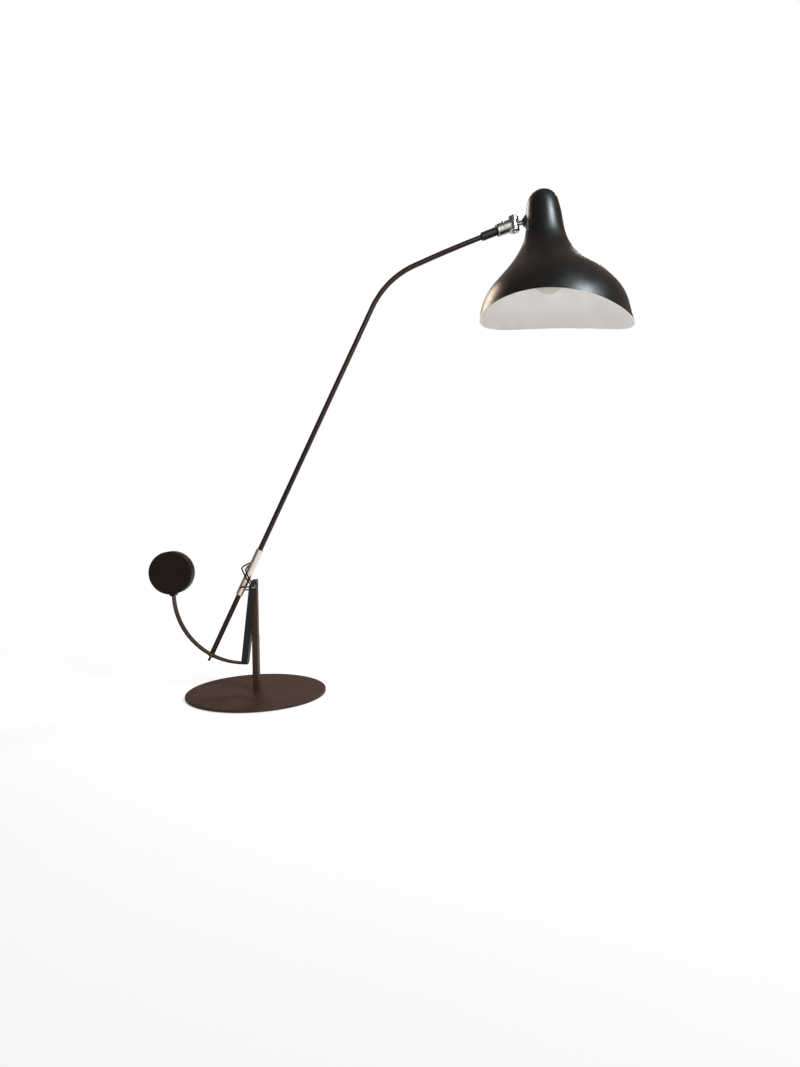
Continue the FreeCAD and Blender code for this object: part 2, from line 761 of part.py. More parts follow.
def arm_path(body, start):
    """The arm's centre line: straight, a tight bend, a long gentle sweep and a straight tip."""
    straight = size("arm_straight")
    bend = size("arm_bend_radius")
    sweep = size("arm_sweep_radius")
    first = radians(size("arm_bend_turn"))
    last = first + radians(size("arm_sweep_turn"))
    bend_centre = Vector(bend, straight, 0)
    sweep_centre = bend_centre + Vector(cos(first), -sin(first), 0) * (sweep - bend)
    bend_end = bend_centre + Vector(-cos(first), sin(first), 0) * bend
    sweep_end = sweep_centre + Vector(-cos(last), sin(last), 0) * sweep
    tip = sweep_end + Vector(sin(last), cos(last), 0) * size("arm_tip")

    path = new_sketch(body, "XZ_Plane")
    trunk = path.addGeometry(Part.LineSegment(Vector(0, 0, 0), Vector(0, straight, 0)))
    pin(path, trunk, 1, "0", start)
    pin(path, trunk, 2, "0", "arm_straight")
    turn = path.addGeometry(Part.ArcOfCircle(Part.Circle(bend_centre, Z_AXIS, bend), pi - first, pi))
    path.addConstraint(Sketcher.Constraint("Coincident", trunk, 2, turn, 2))
    pin(path, turn, 3, "arm_bend_radius", "arm_straight")
    bind(path, Sketcher.Constraint("DistanceX", -1, 1, turn, 1, bend_end.x),
         "arm_bend_radius * (1 - cos(arm_bend_turn * 1deg))")
    glide = path.addGeometry(Part.ArcOfCircle(Part.Circle(sweep_centre, Z_AXIS, sweep), pi - last, pi - first))
    path.addConstraint(Sketcher.Constraint("Coincident", turn, 1, glide, 2))
    pin(path, glide, 3,
        "arm_bend_radius + (arm_sweep_radius - arm_bend_radius) * cos(arm_bend_turn * 1deg)",
        "arm_straight - (arm_sweep_radius - arm_bend_radius) * sin(arm_bend_turn * 1deg)")
    whole_turn = "((arm_bend_turn + arm_sweep_turn) * 1deg)"
    end_across = ("arm_bend_radius + (arm_sweep_radius - arm_bend_radius) * cos(arm_bend_turn * 1deg)"
                  " - arm_sweep_radius * cos" + whole_turn)
    end_along = ("arm_straight - (arm_sweep_radius - arm_bend_radius) * sin(arm_bend_turn * 1deg)"
                 " + arm_sweep_radius * sin" + whole_turn)
    bind(path, Sketcher.Constraint("DistanceX", -1, 1, glide, 1, sweep_end.x), end_across)
    nose = path.addGeometry(Part.LineSegment(sweep_end, tip))
    path.addConstraint(Sketcher.Constraint("Coincident", glide, 1, nose, 1))
    pin(path, nose, 2, end_across + " + arm_tip * sin" + whole_turn,
        end_along + " + arm_tip * cos" + whole_turn)
    return path


def follow_path(body, path, lift, outer, inner=None):
    section = new_sketch(body, "XY_Plane", lift)
    draw_circle(section, "0", "0", outer)
    if inner:
        draw_circle(section, "0", "0", inner)
    pipe = add_feature(body, "AdditivePipe", section)
    pipe.Spine = path
    return pipe


def make_arm():
    tube = new_body("arm_tube")
    follow_path(tube, arm_path(tube, "0"), "0", "arm_radius", "arm_radius - arm_wall")
    tube.Placement = arm_frame(ARM_FOOT)

    lead = new_body("arm_lead")
    follow_path(lead, arm_path(lead, "gland_plug"), "gland_plug", "lead_radius")
    lead.Placement = arm_frame(ARM_FOOT)

    # The cable outlet: a plug in the tube's mouth and a thin spout that curls away from the lamp.
    gland = new_body("cable_gland")
    plug = new_sketch(gland, "XY_Plane")
    draw_circle(plug, "0", "0", "arm_radius - arm_wall")
    draw_circle(plug, "0", "0", "gland_bore_radius")
    pad(gland, plug, "gland_plug")
    curl = radians(size("gland_bend_turn"))
    radius = size("gland_bend_radius")
    straight = size("gland_straight")
    path = new_sketch(gland, "XZ_Plane")
    stub = path.addGeometry(Part.LineSegment(Vector(0, 0, 0), Vector(0, -straight, 0)))
    pin(path, stub, 1, "0", "0")
    pin(path, stub, 2, "0", "-gland_straight")
    centre = Vector(-radius, -straight, 0)
    arc = path.addGeometry(Part.ArcOfCircle(Part.Circle(centre, Z_AXIS, radius), 2 * pi - curl, 2 * pi))
    path.addConstraint(Sketcher.Constraint("Coincident", stub, 2, arc, 2))
    pin(path, arc, 3, "-gland_bend_radius", "-gland_straight")
    bind(path, Sketcher.Constraint("DistanceY", -1, 1, arc, 1, -straight - radius * sin(curl)),
         "-gland_straight - gland_bend_radius * sin(gland_bend_turn * 1deg)")
    follow_path(gland, path, "0", "gland_radius", "gland_bore_radius")
    gland.Placement = arm_frame(ARM_FOOT)


def make_collar():
    collar = new_body("arm_collar")
    revolve(collar, [
        ("arm_radius", "0"),
        ("collar_radius - collar_edge", "0"),
        ("collar_radius", "collar_edge"),
        ("collar_radius", "collar_length - collar_edge"),
        ("collar_radius - collar_edge", "collar_length"),
        ("spigot_radius", "collar_length"),
        ("spigot_radius", "collar_length + swivel_washer_thickness + barrel_back_wall + 2 * running_clearance"),
        ("spigot_radius - 1",
         "collar_length + swivel_washer_thickness + barrel_back_wall + 2 * running_clearance"),
        ("spigot_radius - 1", "collar_length + swivel_washer_thickness + barrel_back_wall"
                              " + 4 * running_clearance + clip_thickness"),
        ("spigot_radius", "collar_length + swivel_washer_thickness + barrel_back_wall"
                          " + 4 * running_clearance + clip_thickness"),
        ("spigot_radius", "collar_length + spigot_length"),
        ("lead_radius + 0.3", "collar_length + spigot_length"),
        ("lead_radius + 0.3", "arm_tip"),
        ("arm_radius", "arm_tip"),
    ])
    collar.Placement = arm_end_frame()

    shoulder = size("collar_length")
    ring("swivel_washer", "barrel_radius - collar_edge", "spigot_radius + running_clearance",
         "swivel_washer_thickness", arm_end_frame(shoulder))
    groove = (shoulder + size("swivel_washer_thickness") + size("barrel_back_wall")
              + 3 * size("running_clearance"))
    clip = new_body("swivel_clip")
    outline = new_sketch(clip, "XY_Plane")
    draw_circle(outline, "0", "0", "clip_radius")
    draw_circle(outline, "0", "0", "spigot_radius - 1")
    pad(clip, outline, "clip_thickness")
    mouth = new_sketch(clip, "XY_Plane")
    draw_box(mouth, "0", "clip_radius * 2", "-clip_radius / 3", "clip_radius / 3")
    pocket(clip, mouth, "clip_thickness", reverse=True)
    clip.Placement = arm_end_frame(groove)


# ---------------------------------------------------------------- swivel and knuckle


def make_swivel():
    start = size("collar_length") + size("swivel_washer_thickness") + size("running_clearance")
    tube = new_body("barrel_tube")
    revolve(tube, [
        ("spigot_radius + running_clearance", "0"),
        ("barrel_radius - collar_edge", "0"),
        ("barrel_radius", "collar_edge"),
        ("barrel_radius", "barrel_length"),
        ("barrel_bore_radius", "barrel_length"),
        ("barrel_bore_radius", "barrel_back_wall"),
        ("spigot_radius + running_clearance", "barrel_back_wall"),
    ])
    tube.Placement = swivel_frame(start)

    # The barrel's end is hollowed to fit the knuckle's drum, and a screw grips the fork's plug in it.
    grip_place = swivel_frame(start + size("grip_distance")) * spin(Y_AXIS, -90)
    drum_place = KNUCKLE * spin(Y_AXIS, 90) * at(z=-size("knuckle_height"))
    hollow = primitive("Cylinder", "barrel_hollow", drum_place, Radius="knuckle_radius + seat_clearance",
                       Height="knuckle_height * 2")
    grip_hole = primitive("Cylinder", "barrel_grip_hole", grip_place,
                          Radius="grip_screw_radius + seat_clearance", Height="barrel_radius * 2")
    cut("swivel_barrel", tube, fuse("barrel_cuts", [hollow, grip_hole]))

    screw = new_body("grip_screw")
    revolve(screw, [
        ("0", "barrel_radius - 3"),
        ("grip_screw_radius", "barrel_radius - 3"),
        ("grip_screw_radius", "barrel_radius"),
        ("grip_head_radius", "barrel_radius"),
        ("grip_head_radius", "barrel_radius + grip_head_height / 2"),
        ("grip_head_radius / 2", "barrel_radius + grip_head_height"),
        ("0", "barrel_radius + grip_head_height"),
    ])
    screw.Placement = grip_place
    make_fork(grip_place)
    make_knuckle_pivot()


def make_fork(grip_place):
    """The chrome fork: a plug in the barrel and two round cheeks stacked on the knuckle's pivot."""
    along_pivot = Rotation(Y_AXIS, 90)
    plug_start = size("collar_length") + size("spigot_length") + size("plug_gap")
    plug = primitive("Cylinder", "fork_plug", swivel_frame(plug_start),
                     Radius="barrel_bore_radius - seat_clearance",
                     Height="knuckle_reach - collar_length - spigot_length - plug_gap")
    drum = new_body("fork_drum")
    outline = new_sketch(drum, "XY_Plane")
    draw_circle(outline, "0", "0", "knuckle_radius")
    pad(drum, outline, "knuckle_height", symmetric=True)
    dress_edges(drum, "Fillet", "knuckle_round", lambda edge: is_circle(edge, size("knuckle_radius")))
    drum.Placement = KNUCKLE * Placement(Vector(), along_pivot)
    solid = fuse("fork_blank", [plug, drum])

    gap = size("knuckle_gap")
    slot_radius = size("tongue_radius") + size("slot_ease")
    slot_round = primitive("Cylinder", "fork_slot_round", KNUCKLE * at(-gap / 2, 0, 0, along_pivot),
                           Radius="tongue_radius + slot_ease", Height="knuckle_gap")
    slot_open = primitive("Box", "fork_slot_open", KNUCKLE * at(-gap / 2, -slot_radius * 2, 0),
                          Length="knuckle_gap", Width="(tongue_radius + slot_ease) * 4",
                          Height="knuckle_radius * 2")
    bore = primitive("Cylinder", "fork_bore", KNUCKLE * at(-size("knuckle_height"), 0, 0, along_pivot),
                     Radius="knuckle_screw_radius + running_clearance", Height="knuckle_height * 2")
    grip_hole = primitive("Cylinder", "fork_grip_hole", grip_place * at(z=size("barrel_radius") - 3.5),
                          Radius="grip_screw_radius + seat_clearance", Height="barrel_radius")
    cut("knuckle_fork", solid, fuse("fork_cuts", [slot_round, slot_open, bore, grip_hole]))


def make_knuckle_pivot():
    """The pivot screw's head is on the upper cheek, at -X, and its cap nut under the lower one."""
    half = size("knuckle_height") / 2
    screw = new_body("knuckle_screw")
    revolve(screw, [
        ("0", "-knuckle_height"),
        ("knuckle_screw_radius", "-knuckle_height"),
        ("knuckle_screw_radius", "0"),
        ("knuckle_head_radius", "0"),
        ("knuckle_head_radius", "knuckle_head_height / 2"),
        ("knuckle_head_radius * 0.6", "knuckle_head_height"),
        ("0", "knuckle_head_height"),
    ])
    driver = new_sketch(screw, "XY_Plane", "knuckle_head_height")
    draw_box(driver, "-knuckle_head_radius", "knuckle_head_radius", "-knuckle_head_height / 5",
             "knuckle_head_height / 5")
    pocket(screw, driver, "knuckle_head_height / 2")
    screw.Placement = KNUCKLE * at(-half, 0, 0, Rotation(Y_AXIS, -90))

    nut = new_body("knuckle_cap_nut")
    revolve(nut, [
        ("0", "knuckle_head_height"),
        ("knuckle_head_radius * 0.5", "knuckle_head_height"),
        ("knuckle_head_radius", "knuckle_head_height / 2"),
        ("knuckle_head_radius", "0"),
        ("0", "0"),
    ])
    nut.Placement = KNUCKLE * at(half, 0, 0, Rotation(Y_AXIS, 90))

    washers = []
    tongue_half = size("knuckle_gap") / 2 - size("knuckle_washer_thickness") - size("running_clearance")
    thickness = size("knuckle_washer_thickness")
    for i, place in enumerate((tongue_half + size("running_clearance") / 2,
                               -tongue_half - thickness - size("running_clearance") / 2)):
        washers.append(ring("knuckle_washer_%d" % i, "tongue_radius",
                            "knuckle_screw_radius + running_clearance", "knuckle_washer_thickness",
                            KNUCKLE * at(place, 0, 0, Rotation(Y_AXIS, 90))))
    group("knuckle_washers", washers)


# ---------------------------------------------------------------- head


def make_stem():
    along_pivot = Rotation(Y_AXIS, 90)
    tongue_height = "(knuckle_gap - 2 * knuckle_washer_thickness - 2 * running_clearance)"
    tongue_half = size("knuckle_gap") / 2 - size("knuckle_washer_thickness") - size("running_clearance")
    tongue = primitive("Cylinder", "stem_tongue", at(-tongue_half, 0, 0, along_pivot), Radius="tongue_radius",
                       Height=tongue_height)
    rod = primitive("Cylinder", "stem_rod", at(z=size("knuckle_screw_radius") * 2), Radius="stem_radius",
                    Height="neck_distance + stem_past_neck - knuckle_screw_radius * 2")
    eye = primitive("Cylinder", "stem_eye", at(-size("knuckle_gap"), 0, 0, along_pivot),
                    Radius="knuckle_screw_radius + running_clearance", Height="knuckle_gap * 2")
    bore = primitive("Cylinder", "stem_bore", at(z=size("knuckle_radius")), Radius="stem_bore_radius",
                     Height="neck_distance + stem_past_neck")
    stem = cut("knuckle_stem", fuse("stem_blank", [tongue, rod]), fuse("stem_cuts", [eye, bore]))
    stem.Placement = HEAD


# Each station down the shade: its label, the step down from the one above, its radius and its shift along X
# from the neck's centre.
STATIONS = (
    ("crown", None, "crown_radius", "crown_shift"),
    ("dome", "dome_step", "dome_radius", "crown_shift"),
    ("temple", "temple_step", "temple_radius", "crown_shift"),
    ("brow", "brow_step", "brow_radius", "crown_shift"),
    ("nape", "nape_step", "nape_radius", "crown_shift * 0.8"),
    ("neck", "neck_step", "neck_radius", None),
    ("throat", "shade_step", "throat_radius", "throat_shift"),
    ("waist", "shade_step", "waist_radius", "waist_shift"),
    ("flare", "shade_step", "flare_radius", "flare_shift"),
    ("shoulder", "shade_step", "shoulder_radius", "shoulder_shift"),
    ("slope", "shade_step", "slope_radius", "slope_shift"),
    ("swell", "shade_step", "swell_radius", "swell_shift"),
    ("brim", "shade_step", "brim_radius", "brim_shift"),
    ("skirt", "shade_step", "skirt_radius", "skirt_shift"),
    ("edge", "shade_step", "edge_radius", "edge_shift"),
    ("hem", "shade_step", "hem_radius", "hem_shift"),
)
CROWN_HEIGHT = "(dome_step + temple_step + brow_step + nape_step + neck_step + neck_above_stem)"


def loft_stations(label, inset):
    """A smooth solid through the shade's round stations, drawn in and let down by the inset."""
    sections = []
    height = CROWN_HEIGHT
    for name, step, radius, shift in STATIONS:
        if step:
            height += " - " + step
        texts = {
            "Radius": radius + " - " + inset,
            "Placement.Base.x": "neck_radius" + (" + " + shift if shift else ""),
            "Placement.Base.z": height + " - " + inset,
        }
        sections.append(primitive("Circle", label + "_" + name, **texts))
    loft = doc.addObject("Part::Loft", label)
    loft.Sections = sections
    loft.Solid = True
    return loft


def make_shade():
    outer = loft_stations("shade_outside", "0")
    inner = loft_stations("shade_inside", "shade_wall")

    tilt = radians(size("rim_tilt"))
    arch = size("rim_arch_radius")
    rim_x = size("neck_radius") + size("hem_shift")
    arch_place = at(rim_x - arch * sin(tilt), 1.5 * size("hem_radius"), -size("rim_drop") - arch * cos(tilt),
                    Rotation(X_AXIS, 90))
    rim_cut = primitive("Cylinder", "shade_rim_cut", arch_place, Radius="rim_arch_radius",
                        Height="3 * hem_radius")
    stem_hole = primitive("Cylinder", "shade_stem_hole",
                          spin(Y_AXIS, STEM_LEAN) * at(z=-size("neck_distance") / 2),
                          Radius="stem_radius + running_clearance", Height="neck_distance")
    shell = cut("shade_shell", outer, inner)
    shade = cut("shade", shell, fuse("shade_cuts", [rim_cut, stem_hole]))
    shade.Placement = NECK

    # The boss seats on the neck's outside, and the saddle on its inside.
    along_stem = spin(Y_AXIS, STEM_LEAN)
    cone = primitive("Cone", "boss_cone", along_stem * at(z=-size("boss_length")),
                     Radius1="boss_small_radius", Radius2="boss_large_radius", Height="boss_length")
    skirt = primitive("Cylinder", "boss_skirt", along_stem, Radius="boss_large_radius",
                      Height="boss_large_radius / 2")
    boss_bore = primitive("Cylinder", "boss_bore", along_stem * at(z=-size("neck_distance")),
                          Radius="stem_radius + seat_clearance", Height="neck_distance * 2")
    boss_tool = fuse("boss_cuts", [boss_bore, loft_stations("boss_seat", "0")])
    boss = cut("shade_boss", fuse("boss_blank", [cone, skirt]), boss_tool)
    boss.Placement = NECK

    saddle_blank = primitive("Cylinder", "saddle_blank", along_stem * at(z=-size("saddle_reach")),
                             Radius="saddle_radius", Height="saddle_reach * 2")
    saddle_bore = primitive("Cylinder", "saddle_bore", along_stem * at(z=-size("saddle_reach") * 2),
                            Radius="stem_radius + seat_clearance", Height="saddle_reach * 4")
    saddle = common("neck_saddle", cut("saddle_ring", saddle_blank, saddle_bore),
                    loft_stations("saddle_seat", "shade_wall"))
    saddle.Placement = NECK


def make_bracket():
    """An L of sheet metal: a tab clamped on the stem and a shelf that carries the lampholder."""
    # The stem is square to the lampholder's axis, so the L is too; the neck is its origin here.
    wall = "(-neck_radius * cos(shade_lean * 1deg))"
    level = "(neck_radius * sin(shade_lean * 1deg))"
    near = wall + " + saddle_reach"
    far = near + " + bracket_thickness"
    top = level + " + bracket_top"
    shelf_end = "holder_nut_radius + 1"
    blank = new_body("bracket_blank")
    profile = new_sketch(blank, "XZ_Plane")
    draw_polygon(profile, [
        (near, top),
        (near, "-holder_drop"),
        (shelf_end, "-holder_drop"),
        (shelf_end, "bracket_thickness - holder_drop"),
        (far, "bracket_thickness - holder_drop"),
        (far, top),
    ])
    pad(blank, profile, "bracket_width", symmetric=True)
    dress_edges(blank, "Fillet", "bracket_thickness * 0.8",
                lambda edge: abs(edge.CenterOfMass.y) < 0.01
                and edge.CenterOfMass.x < -size("holder_nut_radius")
                and abs(edge.CenterOfMass.z + size("holder_drop")) < 0.01)
    blank.Placement = HOLDER

    stem_drill = primitive("Cylinder", "bracket_stem_drill", NECK_STEM, Radius="stem_radius + seat_clearance",
                           Height="stem_past_neck")
    nipple_drill = primitive("Cylinder", "bracket_nipple_drill", HOLDER * at(z=-2 * size("holder_drop")),
                             Radius="nipple_radius + seat_clearance", Height="holder_drop * 2")
    cut("holder_bracket", blank, fuse("bracket_cuts", [stem_drill, nipple_drill]))

    hex_nut("stem_nut", "stem_nut_radius", "stem_radius + seat_clearance", "stem_nut_height",
            NECK_STEM * at(z=size("saddle_reach") + size("bracket_thickness")))
    hex_nut("holder_nut", "holder_nut_radius", "nipple_radius + seat_clearance", "holder_nut_height",
            HOLDER * at(z=size("bracket_thickness") - size("holder_drop")))


def hex_nut(label, radius, bore, height, place):
    nut = new_body(label)
    outline = new_sketch(nut, "XY_Plane")
    draw_polygon(outline, [("%.6f * (%s)" % (cos(pi * i / 3), radius), "%.6f * (%s)" % (sin(pi * i / 3), radius))
                           for i in range(6)])
    draw_circle(outline, "0", "0", bore)
    pad(nut, outline, height)
    nut.Placement = place


def make_lampholder():
    holder = new_body("lampholder")
    rib = "holder_radius + holder_rib"
    floor = "(bulb_length - bulb_drop + contact_height)"
    revolve(holder, [
        ("nipple_bore_radius", "nipple_height - holder_drop"),
        ("nipple_radius", "nipple_height - holder_drop"),
        ("nipple_radius", "-holder_drop"),
        ("holder_radius - holder_wall", "-holder_drop"),
        ("holder_radius", "-holder_drop - holder_wall"),
        ("holder_radius", "-holder_height * 0.5"),
        (rib, "-holder_height * 0.5 - holder_rib"),
        (rib, "-holder_height * 0.6 - holder_rib"),
        ("holder_radius", "-holder_height * 0.6 - 2 * holder_rib"),
        ("holder_radius", "-holder_drop - holder_height"),
        ("cap_radius + cap_thread", "-holder_drop - holder_height"),
        ("cap_radius + cap_thread", floor),
        ("nipple_bore_radius", floor),
    ])
    holder.Placement = HOLDER

    contact = primitive("Cylinder", "lampholder_contact", HOLDER * at(z=size("bulb_length") - size("bulb_drop")),
                        Radius="contact_radius", Height="contact_height")
    return contact


def make_bulb():
    cap_top = "(bulb_length - bulb_drop - tip_height)"
    cap_foot = "(bulb_length - bulb_drop - tip_height - cap_length)"
    cap = new_body("bulb_cap")
    pitch = "cap_length / 7"
    outside = [("cap_radius - cap_wall", cap_foot), ("cap_radius", cap_foot)]
    for turn in range(1, 6):
        reach = "cap_radius + cap_thread / 2" if turn % 2 else "cap_radius"
        outside.append((reach, cap_foot + " + %d * %s" % (turn, pitch)))
    inside = [
        ("cap_radius", cap_foot + " + 6 * " + pitch),
        ("tip_radius", cap_top),
        ("tip_radius - cap_wall", cap_top),
        ("cap_radius - cap_wall", cap_foot + " + 6 * " + pitch + " - cap_wall"),
    ]
    revolve(cap, outside + inside)
    cap.Placement = HOLDER

    primitive("Cone", "bulb_tip", HOLDER * at(z=size("bulb_length") - size("bulb_drop") - size("tip_height")),
              Radius1="tip_radius", Radius2="contact_radius", Height="tip_height")

    # The globe's wall: two arcs about one centre, each with a line that leaves it at a tangent for the cap.
    glass = new_body("bulb_glass")
    sketch = new_sketch(glass, "XZ_Plane")
    centre = size("globe_radius") - size("bulb_drop")
    foot = size("bulb_length") - size("bulb_drop") - size("tip_height") - size("cap_length")
    insert = size("cap_length") / 5
    outer = size("globe_radius")
    inner = outer - size("globe_wall")
    throat = size("cap_radius") - size("cap_wall") - size("seat_clearance")
    bore = throat - size("globe_wall")
    outer_angle = tangent_angle(outer, throat, foot - centre)
    inner_angle = tangent_angle(inner, bore, foot - centre)
    middle = Vector(0, centre, 0)
    low = sketch.addGeometry(Part.ArcOfCircle(Part.Circle(middle, Z_AXIS, outer), -pi / 2, outer_angle))
    low_in = sketch.addGeometry(Part.ArcOfCircle(Part.Circle(middle, Z_AXIS, inner), -pi / 2, inner_angle))
    outside = [
        Vector(outer * cos(outer_angle), centre + outer * sin(outer_angle), 0),
        Vector(throat, foot, 0),
        Vector(throat, foot + insert, 0),
        Vector(bore, foot + insert, 0),
        Vector(bore, foot, 0),
        Vector(inner * cos(inner_angle), centre + inner * sin(inner_angle), 0),
    ]
    lines = [sketch.addGeometry(Part.LineSegment(outside[i], outside[i + 1])) for i in range(5)]
    axis = sketch.addGeometry(Part.LineSegment(Vector(0, centre - inner, 0), Vector(0, centre - outer, 0)))
    joins = [(low_in, 1, axis, 1), (axis, 2, low, 1)]
    joins += [(lines[i], 2, lines[i + 1], 1) for i in range(4)]
    for first, first_end, second, second_end in joins:
        sketch.addConstraint(Sketcher.Constraint("Coincident", first, first_end, second, second_end))
    for arc in (low, low_in):
        pin(sketch, arc, 3, "0", "globe_radius - bulb_drop")
    bind(sketch, Sketcher.Constraint("Radius", low, outer), "globe_radius")
    bind(sketch, Sketcher.Constraint("Radius", low_in, inner), "globe_radius - globe_wall")
    for arc in (low, low_in):
        bind(sketch, Sketcher.Constraint("DistanceX", -1, 1, arc, 1, 0.0), "0")
    cap_foot_text = "bulb_length - bulb_drop - tip_height - cap_length"
    throat_text = "cap_radius - cap_wall - seat_clearance"
    pin(sketch, lines[1], 1, throat_text, cap_foot_text)
    pin(sketch, lines[1], 2, throat_text, cap_foot_text + " + cap_length / 5")
    pin(sketch, lines[3], 1, throat_text + " - globe_wall", cap_foot_text + " + cap_length / 5")
    pin(sketch, lines[3], 2, throat_text + " - globe_wall", cap_foot_text)
    sketch.addConstraint(Sketcher.Constraint("Tangent", low, 2, lines[0], 1))
    sketch.addConstraint(Sketcher.Constraint("Tangent", low_in, 2, lines[4], 2))
    turned = add_feature(glass, "Revolution", sketch)
    turned.ReferenceAxis = (sketch, ["V_Axis"])
    turned.Angle = 360
    glass.Placement = HOLDER


def tangent_angle(radius, across, up):
    """Where, as an angle, a line from (across, up) touches a circle about the origin on its outer side."""
    return atan2(up, across) - acos(radius / hypot(across, up))


def make_head_lead():
    lean = radians(size("shade_lean"))
    wall = -size("neck_radius") * cos(lean)
    level = size("neck_radius") * sin(lean)
    points = [
        Vector(wall + size("stem_past_neck") / 2, 0, level),
        Vector(0, 0, level),
        Vector(0, 0, size("contact_height") * 2 + size("bulb_length") - size("bulb_drop")),
    ]
    lead = wire_piece("head_lead", points, [size("lead_bend_radius")], "head_lead_radius")
    lead.Placement = HOLDER


def make_head():
    make_stem()
    make_shade()
    make_bracket()
    make_lampholder()
    make_bulb()
    make_head_lead()


# The pieces, by rigid group.
NODES = (
    "base_plate", "base_pad", "foot_screws", "post", "pivot_bolt", "pivot_nut", "pivot_washers",
    "counterweight_leg", "counterweight_strap", "strap_eyelet", "counterweight_disc", "sleeve",
    "sleeve_bush_lower", "sleeve_bush_upper", "lower_stay", "upper_stay",
    "arm_tube", "arm_lead", "cable_gland", "arm_collar", "swivel_washer", "swivel_clip",
    "swivel_barrel", "grip_screw", "knuckle_fork", "knuckle_screw", "knuckle_cap_nut", "knuckle_washers",
    "knuckle_stem", "shade_boss", "shade", "neck_saddle", "stem_nut", "holder_bracket", "holder_nut",
    "lampholder", "lampholder_contact", "head_lead", "bulb_cap", "bulb_tip", "bulb_glass",
)


def check_and_export():
    doc.recompute()
    for item in doc.Objects:
        if "Invalid" in item.State or "Error" in item.State:
            raise RuntimeError("%s did not build: %s" % (item.Label, item.State))
    os.makedirs("parts", exist_ok=True)
    for node in NODES:
        shape = doc.getObjectsByLabel(node)[0].Shape
        if shape.isNull() or not shape.isValid() or not shape.Solids:
            raise RuntimeError(node + " has no sound solid")
        shape.exportStep("parts/%s.step" % node)


def main():
    make_base()
    make_post()
    make_pivot()
    make_leg()
    make_strap()
    make_weight()
    make_sleeve()
    make_stays()
    make_arm()
    make_collar()
    make_swivel()
    make_head()
    check_and_export()


main()
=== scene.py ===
import math

import bmesh
import bpy
from mathutils import Matrix, Vector


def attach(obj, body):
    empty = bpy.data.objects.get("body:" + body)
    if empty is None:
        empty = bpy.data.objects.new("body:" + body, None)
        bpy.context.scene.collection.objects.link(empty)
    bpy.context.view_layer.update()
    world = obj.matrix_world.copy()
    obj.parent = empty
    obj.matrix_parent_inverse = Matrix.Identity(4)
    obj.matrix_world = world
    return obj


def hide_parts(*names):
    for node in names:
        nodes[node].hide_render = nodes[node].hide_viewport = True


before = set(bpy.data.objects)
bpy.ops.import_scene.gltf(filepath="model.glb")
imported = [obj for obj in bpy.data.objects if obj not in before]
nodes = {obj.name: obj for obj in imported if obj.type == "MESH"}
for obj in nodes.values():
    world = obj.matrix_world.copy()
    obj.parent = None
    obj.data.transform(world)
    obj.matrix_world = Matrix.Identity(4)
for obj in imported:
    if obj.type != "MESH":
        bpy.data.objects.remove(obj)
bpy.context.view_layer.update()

scene = bpy.context.scene

# ---------------------------------------------------------------- camera
# The camera that the base's ellipse, the post and the shade's rim give.
PITCH = math.radians(1.86)
ROLL = math.radians(-0.75)
CAMERA_PLACE = (0.2116, -0.9752, 0.2618)
SENSOR_MM = 36.0
LENS_MM = 22.77
CLIP_RANGE = (0.01, 200.0)


def make_camera():
    """The photograph's camera: nearly level, in front of the lamp and left of its head."""
    data = bpy.data.cameras.new("camera")
    data.sensor_width = SENSOR_MM
    data.lens = LENS_MM
    data.clip_start, data.clip_end = CLIP_RANGE
    look = Vector((0.0, math.cos(PITCH), -math.sin(PITCH)))
    upright = Vector((0.0, math.sin(PITCH), math.cos(PITCH)))
    level = Vector((1.0, 0.0, 0.0))
    right = math.cos(ROLL) * level + math.sin(ROLL) * upright
    up = math.cos(ROLL) * upright - math.sin(ROLL) * level
    turn = Matrix((right, up, -look)).transposed().to_4x4()
    camera = bpy.data.objects.new("camera", data)
    camera.matrix_world = Matrix.Translation(CAMERA_PLACE) @ turn
    scene.collection.objects.link(camera)
    scene.camera = camera


